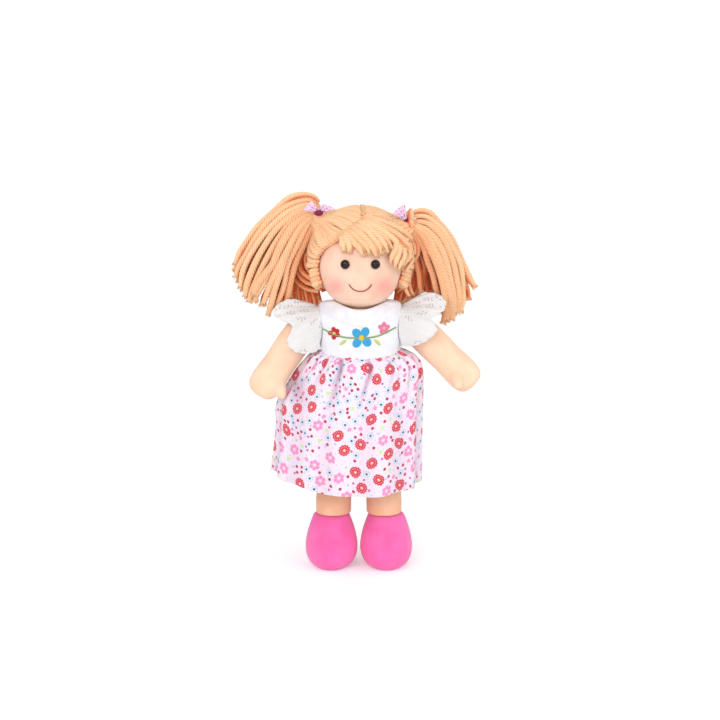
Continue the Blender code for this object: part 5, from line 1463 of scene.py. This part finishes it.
# %% Frills
frill_edges = {
    "left": [(0.0, 25.5, -10, 168.5), (0.10, 38, -17, 170.0), (0.21, 50, -21.5, 175.5), (0.30, 56.0, -21, 183.5),
             (0.37, 52.5, -15.5, 190.0), (0.44, 61.0, -12, 195.0), (0.52, 62.5, -8, 203), (0.60, 54, -5.0, 208.0),
             (0.68, 44, -2, 206.0), (0.77, 39.5, 5, 198.5), (0.85, 40, 13.0, 188),
             (0.93, 36.5, 15, 178), (1.0, 27, 12, 170)],
    "right": [(0.0, -24.5, -10, 168.5), (0.09, -36, -17.5, 165.0), (0.19, -48, -21.5, 166.5), (0.28, -53.5, -21, 174.5),
              (0.35, -50.0, -15.5, 184.0), (0.43, -60.5, -12, 189.5), (0.51, -65, -8, 195.0), (0.59, -56, -5.0, 202.0),
              (0.68, -43.5, -2, 201.0), (0.77, -38.5, 5, 195), (0.85, -39.5, 13, 185),
              (0.93, -35.5, 15, 176), (1.0, -26, 12, 170)],
}
for side, sign in doll_sides.items():
    columns, rows = 460, 30
    t = np.linspace(0, 1, columns)
    a = np.radians(-58 + 296 * t)
    base_y, base_z = -13.7 * mm * np.cos(a), (180.8 + np.where(np.sin(a) > 0, 15.6, 13.7) * np.sin(a)) * mm
    wide, deep = body_size(np.minimum(base_z, body_high))
    gap = 2.0 * mm
    share = np.minimum(np.abs(base_y) / (deep + gap), 1)
    base_x = sign * np.maximum((wide + gap) * (1 - share**power) ** (1 / power), 22.9 * mm)
    base = np.stack([base_x, base_y, base_z], 1)
    table = np.array(frill_edges[side])
    edge = soft_curve(t, table[:, 0], table[:, 1:] * mm)
    ends = np.sin(np.pi * t) ** 0.45
    way = unit(edge - base)
    edge = edge + way * (0.9 * mm * np.abs(np.sin(np.pi * 19 * t)) - 0.45 * mm)[:, None]
    s = np.linspace(0, 1, rows)[:, None, None]
    run = unit(np.gradient(edge, axis=0))
    lean = unit(np.cross(run, way)) * sign
    lean = lean * np.sign((lean * (edge * (0, 1, 1) - (0, 0, 0.1808))).sum(-1, keepdims=True) + 1e-9)
    padded = np.pad(lean, ((20, 20), (0, 0)), mode="edge")
    lean = unit(np.stack([np.convolve(padded[:, k], np.ones(41) / 41, "valid") for k in range(3)], 1))
    arch = np.sin(np.pi * s) * 2.1 * mm * ends[None, :, None]
    gathers = 0.32 * mm * np.sin(2 * np.pi * 30 * t)[None, :, None] * np.exp(-s / 0.4) * soft_step(s, 0, 0.06)
    ruffle = 0.6 * mm * np.sin(full_turn * 9.5 * t + (0.4 if side == "left" else 2.0))[None, :, None]
    ruffle = ruffle * s**1.3 * ends[None, :, None]
    curl = 0.35 * mm * np.sin(2 * np.pi * 19 * t)[None, :, None] * s**5
    grid = base + (edge - base) * s + lean * (arch + gathers + ruffle + curl)
    along = lengths(grid[-6])
    down = lengths(grid[::-1])[::-1]
    cloth = np.stack([np.broadcast_to(along, down.shape), down], -1)
    frill = cloth_piece(f"eyelet_frill_{side}", grid, cloth, eyelet_cotton, 0.45 * mm, turned=side == "right")
    print(frill.name, "edge length", round(float(along[-1]) / mm), "mm, width", round(float(down[0].mean()) / mm, 1))
    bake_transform(frill)
    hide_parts(f"sleeve_frill_{side}")

# %% [markdown]
# ## The gathered skirt
# The skirt is one long rectangle of printed cotton, gathered on a thread at the yoke. A cloth simulation of gathers
# this small needs very fine cloth, so the folds are waves round the skirt: many short ones at the seam, which run
# together into fewer and wider ones lower down. The skirt is cut at its front and back middle into two halves, and
# both halves are made from one grid, so the cut doesn't show at rest. The skirt hangs to one side, so the grid's
# columns lean the other way, which keeps the cut between the legs all the way down.

# %% Skirt grid
drop_shares = (0.0, 0.014, 0.04, 0.09, 0.17, 0.29, 0.45, 0.63, 0.82, 1.0)
wide_shares_skirt = (0.0, 0.03, 0.20, 0.38, 0.56, 0.72, 0.89, 0.92, 0.96, 1.0)
deep_shares_skirt = (0.0, 0.03, 0.20, 0.42, 0.60, 0.72, 0.80, 0.87, 0.94, 1.0)
sway_shares = (0.0, -0.03, -0.10, -0.16, 0.03, 0.35, 0.74, 0.79, 0.87, 1.0)
rows, columns = 84, 720
d = np.linspace(0, 1, rows)[:, None] ** 1.15
a = np.linspace(0, 2 * np.pi, columns, endpoint=False)[None] + np.pi / 2
swayed = 10.8 * mm * soft_curve(d, drop_shares, sway_shares)
a = a - (swayed - 1.1 * mm * soft_step(d, 0.1, 0.5)) / (34 * mm + 22 * mm * soft_step(d, 0.1, 0.6)) * np.sin(a)
seam = seam_height(a) + 1.2 * mm
hem = (68.5 - 7.0 * np.sin(a) ** 2 - 4.5 * np.cos(a)) * mm + 0.5 * mm * np.cos(9 * a + 1.0)
z = seam + (hem - seam) * d
wide, deep = body_size(seam)
tuck = (0.5 + 1.2 * soft_step(d, 0.008, 0.028)) * mm
start_wide, start_deep = wide + tuck, deep + tuck
wide = start_wide + (56.2 * mm - start_wide) * soft_curve(d, drop_shares, wide_shares_skirt)
deep = start_deep + (39.5 * mm - start_deep) * soft_curve(d, drop_shares, deep_shares_skirt)
square = power + (2.0 - power) * np.minimum(1, d * 4)
u = np.sign(np.cos(a)) * np.abs(np.cos(a)) ** (2 / square)
v = np.sign(np.sin(a)) * np.abs(np.sin(a)) ** (2 / square)
front_side = soft_step(-np.sin(a), 0.2, 0.9)
big = 1.5 * mm * soft_curve(d, [0, 0.1, 0.3, 0.6, 1], [0, 0.7, 1.0, 0.9, 1.1]) * (1 - 0.45 * front_side)
bend = 0.25 * np.sin(3 * a + 0.5)
folds = big * np.cos(12 * (a + 0.02) + bend)
folds = folds + 0.8 * mm * soft_curve(d, [0, 0.06, 0.2, 0.45, 1], [0, 1.0, 0.8, 0.35, 0.25]) * np.cos(19 * a + 1.7)
warp = a + 0.09 * np.sin(3 * a + 1.0) + 0.05 * np.sin(5 * a + 0.4)
deepen = 0.72 + 0.28 * np.sin(4 * a + 2.0)
reach = soft_curve(d / (0.55 + 0.45 * deepen), [0, 0.03, 0.08, 0.2, 0.42, 2.2], [0.0, 0.75, 1.0, 0.62, 0.0, 0.0])
valley = np.exp(-((np.sin(17 * warp / 2) / 0.30) ** 2))
folds = folds + 1.0 * mm * reach - 2.9 * mm * np.clip(reach, 0, 1) * deepen * valley
# shade is painted shade, kept as the inner mark: darker in the valleys of the gathers and where the folds turn in.
shade = 0.75 * np.clip(reach, 0, 1) * deepen * valley
shade = shade + 0.12 * np.clip(-folds / (1.2 * mm), 0, 1) * soft_step(d, 0.1, 0.3)
folds = folds + 0.3 * mm * soft_curve(d, [0, 0.02, 0.09, 0.2, 1], [0.1, 1, 0.5, 0, 0]) * np.cos(51 * a)
x = u * (wide + folds) - swayed
y = v * (deep + folds)
skirt_grid = np.stack([x, y, z], -1)
# A patch of painted shadow where the skirt meets the left arm.
shade = shade + 0.5 * np.exp(-(((x + 46 * mm) / (6 * mm)) ** 2) - ((z - 139 * mm) / (13 * mm)) ** 2) * (y < 0)
around = lengths(np.vstack([skirt_grid[52], skirt_grid[52][:1]]))
down = lengths(skirt_grid)
print("skirt is", round(float(around[-1]) / mm), "mm round and", round(float(down[-1].mean()) / mm), "mm long")

# %% Two halves from one grid
whole = np.concatenate([skirt_grid, skirt_grid[:, :1]], 1)
padded_grid = np.concatenate([skirt_grid[:, -2:], whole, skirt_grid[:, 1:3]], 1)
out = grid_normals(padded_grid)[:, 2:-2]
out *= np.sign((out[40] * (whole[40] - whole[40].mean(0))).sum())
down = np.concatenate([down, down[:, :1]], 1)
shade = np.concatenate([shade, shade[:, :1]], 1)
half = columns // 2
for side, first in (("right", 0), ("left", half)):
    part = slice(first, first + half + 1)
    outer = whole[:, part] + out[:, part] * 0.25 * mm
    inner = whole[:, part] - out[:, part] * 0.25 * mm
    grid = np.concatenate([outer, inner[::-1]])
    n = half + 1
    faces, corner_rows, corner_columns = grid_faces(2 * rows, n)
    table = np.stack([np.broadcast_to(around[part], (rows, n)), down[:, part]], -1)
    table = np.concatenate([table, table[::-1]])
    last = (2 * rows - 1) * n
    column = np.arange(n - 1)
    rim = np.stack([column + last, column + last + 1, column + 1, column], 1)
    rim_map = np.stack([table[-1, column], table[-1, column + 1], table[0, column + 1], table[0, column]], 1)
    ends = []
    end_maps = []
    for c in (0, n - 1):
        r = np.arange(rows - 1)
        opposite = 2 * rows - 1 - r
        quad = np.stack([r * n + c, (r + 1) * n + c, (opposite - 1) * n + c, opposite * n + c], 1)
        ends.append(quad if c == 0 else quad[:, ::-1])
        quad_map = np.stack([table[r, c], table[r + 1, c], table[r + 1, c], table[r, c]], 1)
        end_maps.append(quad_map if c == 0 else quad_map[:, ::-1])
    all_faces = np.concatenate([faces, rim] + ends)
    all_maps = np.concatenate([table[corner_rows, corner_columns], rim_map] + end_maps)
    marks = {"inner": np.concatenate([shade[:, part], shade[::-1, part]])}
    piece = new_piece(f"skirt_{side}", grid, all_faces, skirt_print, all_maps, marks)
    normals = np.concatenate([out[:, part], -out[::-1, part]]).reshape(-1, 3)
    first_normal = piece.data.polygons[40 * (n - 1) + 200].normal
    if np.dot(np.array(first_normal), out[40, part][200]) < 0:
        mend(piece.data, over=lambda quads: True)
    piece.data.normals_split_custom_set_from_vertices(normals.tolist())
    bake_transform(piece)
    if side == "right":
        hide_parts("skirt")

# %% [markdown]
# ## The back closure
# Two narrow tapes close the slit in the back of the yoke, one on the other. Each is a flat woven strip.

# %% Closure tapes
tape_cotton = white_finish("tape_cotton", 0.8 * mm, tone(244, 244, 246), tone(214, 216, 228))
for name, lift in (("closure_loop_strip", 2.1), ("closure_hook_strip", 3.2)):
    z = np.linspace(161.8, 183.4, 40)[:, None] * mm
    x = np.linspace(-4.0, 4.0, 24)[None] * mm
    wide, deep = body_size(z)
    y = (deep + lift * mm) * (1 - (np.abs(x) / (wide + lift * mm)) ** power) ** (1 / power)
    corner = np.exp(-((4.0 * mm - np.abs(x)) / (0.7 * mm)) ** 2) * 0.12 * mm
    ripple = 0.06 * mm * np.sin(z / mm * 2.4)
    grid = np.stack([x * np.ones_like(z), y - corner + ripple, z * np.ones_like(x)], -1)
    cloth = np.stack([x * np.ones_like(z), z * np.ones_like(x)], -1)
    tape = cloth_piece(f"{name}_tape", grid, cloth, tape_cotton, 0.8 * mm, turned=True)
    belongs(tape, "torso", name)

# %% [markdown]
# ## Floor and light
# The photograph is a cut-out on white with a soft light from all round. A white floor catches a faint shadow under
# the shoes. The world gives most of the light and three large lamps give the folds their shape, at a level at which
# a colour renders about as it is written. A small lamp near the camera is there for the glint in the eyes.

# %% Floor, backdrop and lamps
paper = Finish("floor_white", 0.9, specular=0.5, Emission_Color=white)
clouds = paper.noise(paper.place(), 3.0).spread(0.3, 0.7)
paper.feed(paper.shader, {"Emission Strength": paper.node("LightPath") * 0.28})
floor_white = paper.done(clouds.mix((0.93, 0.93, 0.93, 1), (0.95, 0.95, 0.95, 1)))

p = np.linspace(0, 1, 60)
profile_y = np.concatenate([np.linspace(-1.6, 1.2, 40), 1.2 + 0.5 * np.sin(p[1:] * np.pi / 2), np.full(20, 1.7)])
profile_z = np.concatenate([np.zeros(40), 0.5 * (1 - np.cos(p[1:] * np.pi / 2)), np.linspace(0.5, 2.2, 21)[1:]])
across = np.linspace(-2.5, 2.5, 40)[:, None]
grid = np.stack(np.broadcast_arrays(across, profile_y, profile_z), -1)
faces, _, _ = grid_faces(40, len(profile_y))
floor = new_piece("floor_sweep", grid, faces, floor_white)

world = bpy.data.worlds.new("soft_white")
bpy.context.scene.world = world
world.use_nodes = True
world.node_tree.nodes["Background"].inputs[0].default_value = (1, 1, 1, 1)
ray = world.node_tree.nodes.new("ShaderNodeLightPath")
level = world.node_tree.nodes.new("ShaderNodeMath")
level.operation = "MULTIPLY_ADD"
level.inputs[1].default_value, level.inputs[2].default_value = 0.28, 0.72
world.node_tree.links.new(ray.outputs["Is Camera Ray"], level.inputs[0])
world.node_tree.links.new(level.outputs[0], world.node_tree.nodes["Background"].inputs["Strength"])


def soft_lamp(name, place, aim, size, power_watts):
    """A square lamp that looks at a point."""
    lamp = bpy.data.lights.new(name, "AREA")
    lamp.size = size
    lamp.energy = power_watts
    holder = bpy.data.objects.new(name, lamp)
    place, aim = np.array(place, float), np.array(aim, float)
    holder.location = place
    way = aim - place
    holder.rotation_euler = (math.acos(-way[2] / np.linalg.norm(way)), 0, math.atan2(way[1], way[0]) - math.pi / 2)
    bpy.context.scene.collection.objects.link(holder)


soft_lamp("front_lamp", (-0.7, -1.5, 1.1), (0, 0, 0.15), 1.0, 8.6)
soft_lamp("low_lamp", (0.25, -1.7, 0.35), (0, 0, 0.12), 0.8, 3.0)
soft_lamp("side_lamp", (1.3, -0.9, 0.9), (0, 0, 0.15), 1.0, 4.5)
soft_lamp("eye_light", (-0.10, -1.05, 0.58), (0, 0, 0.23), 0.12, 0.7)
scene = bpy.context.scene
scene.view_settings.view_transform = "Standard"
print("lamps and world ready")
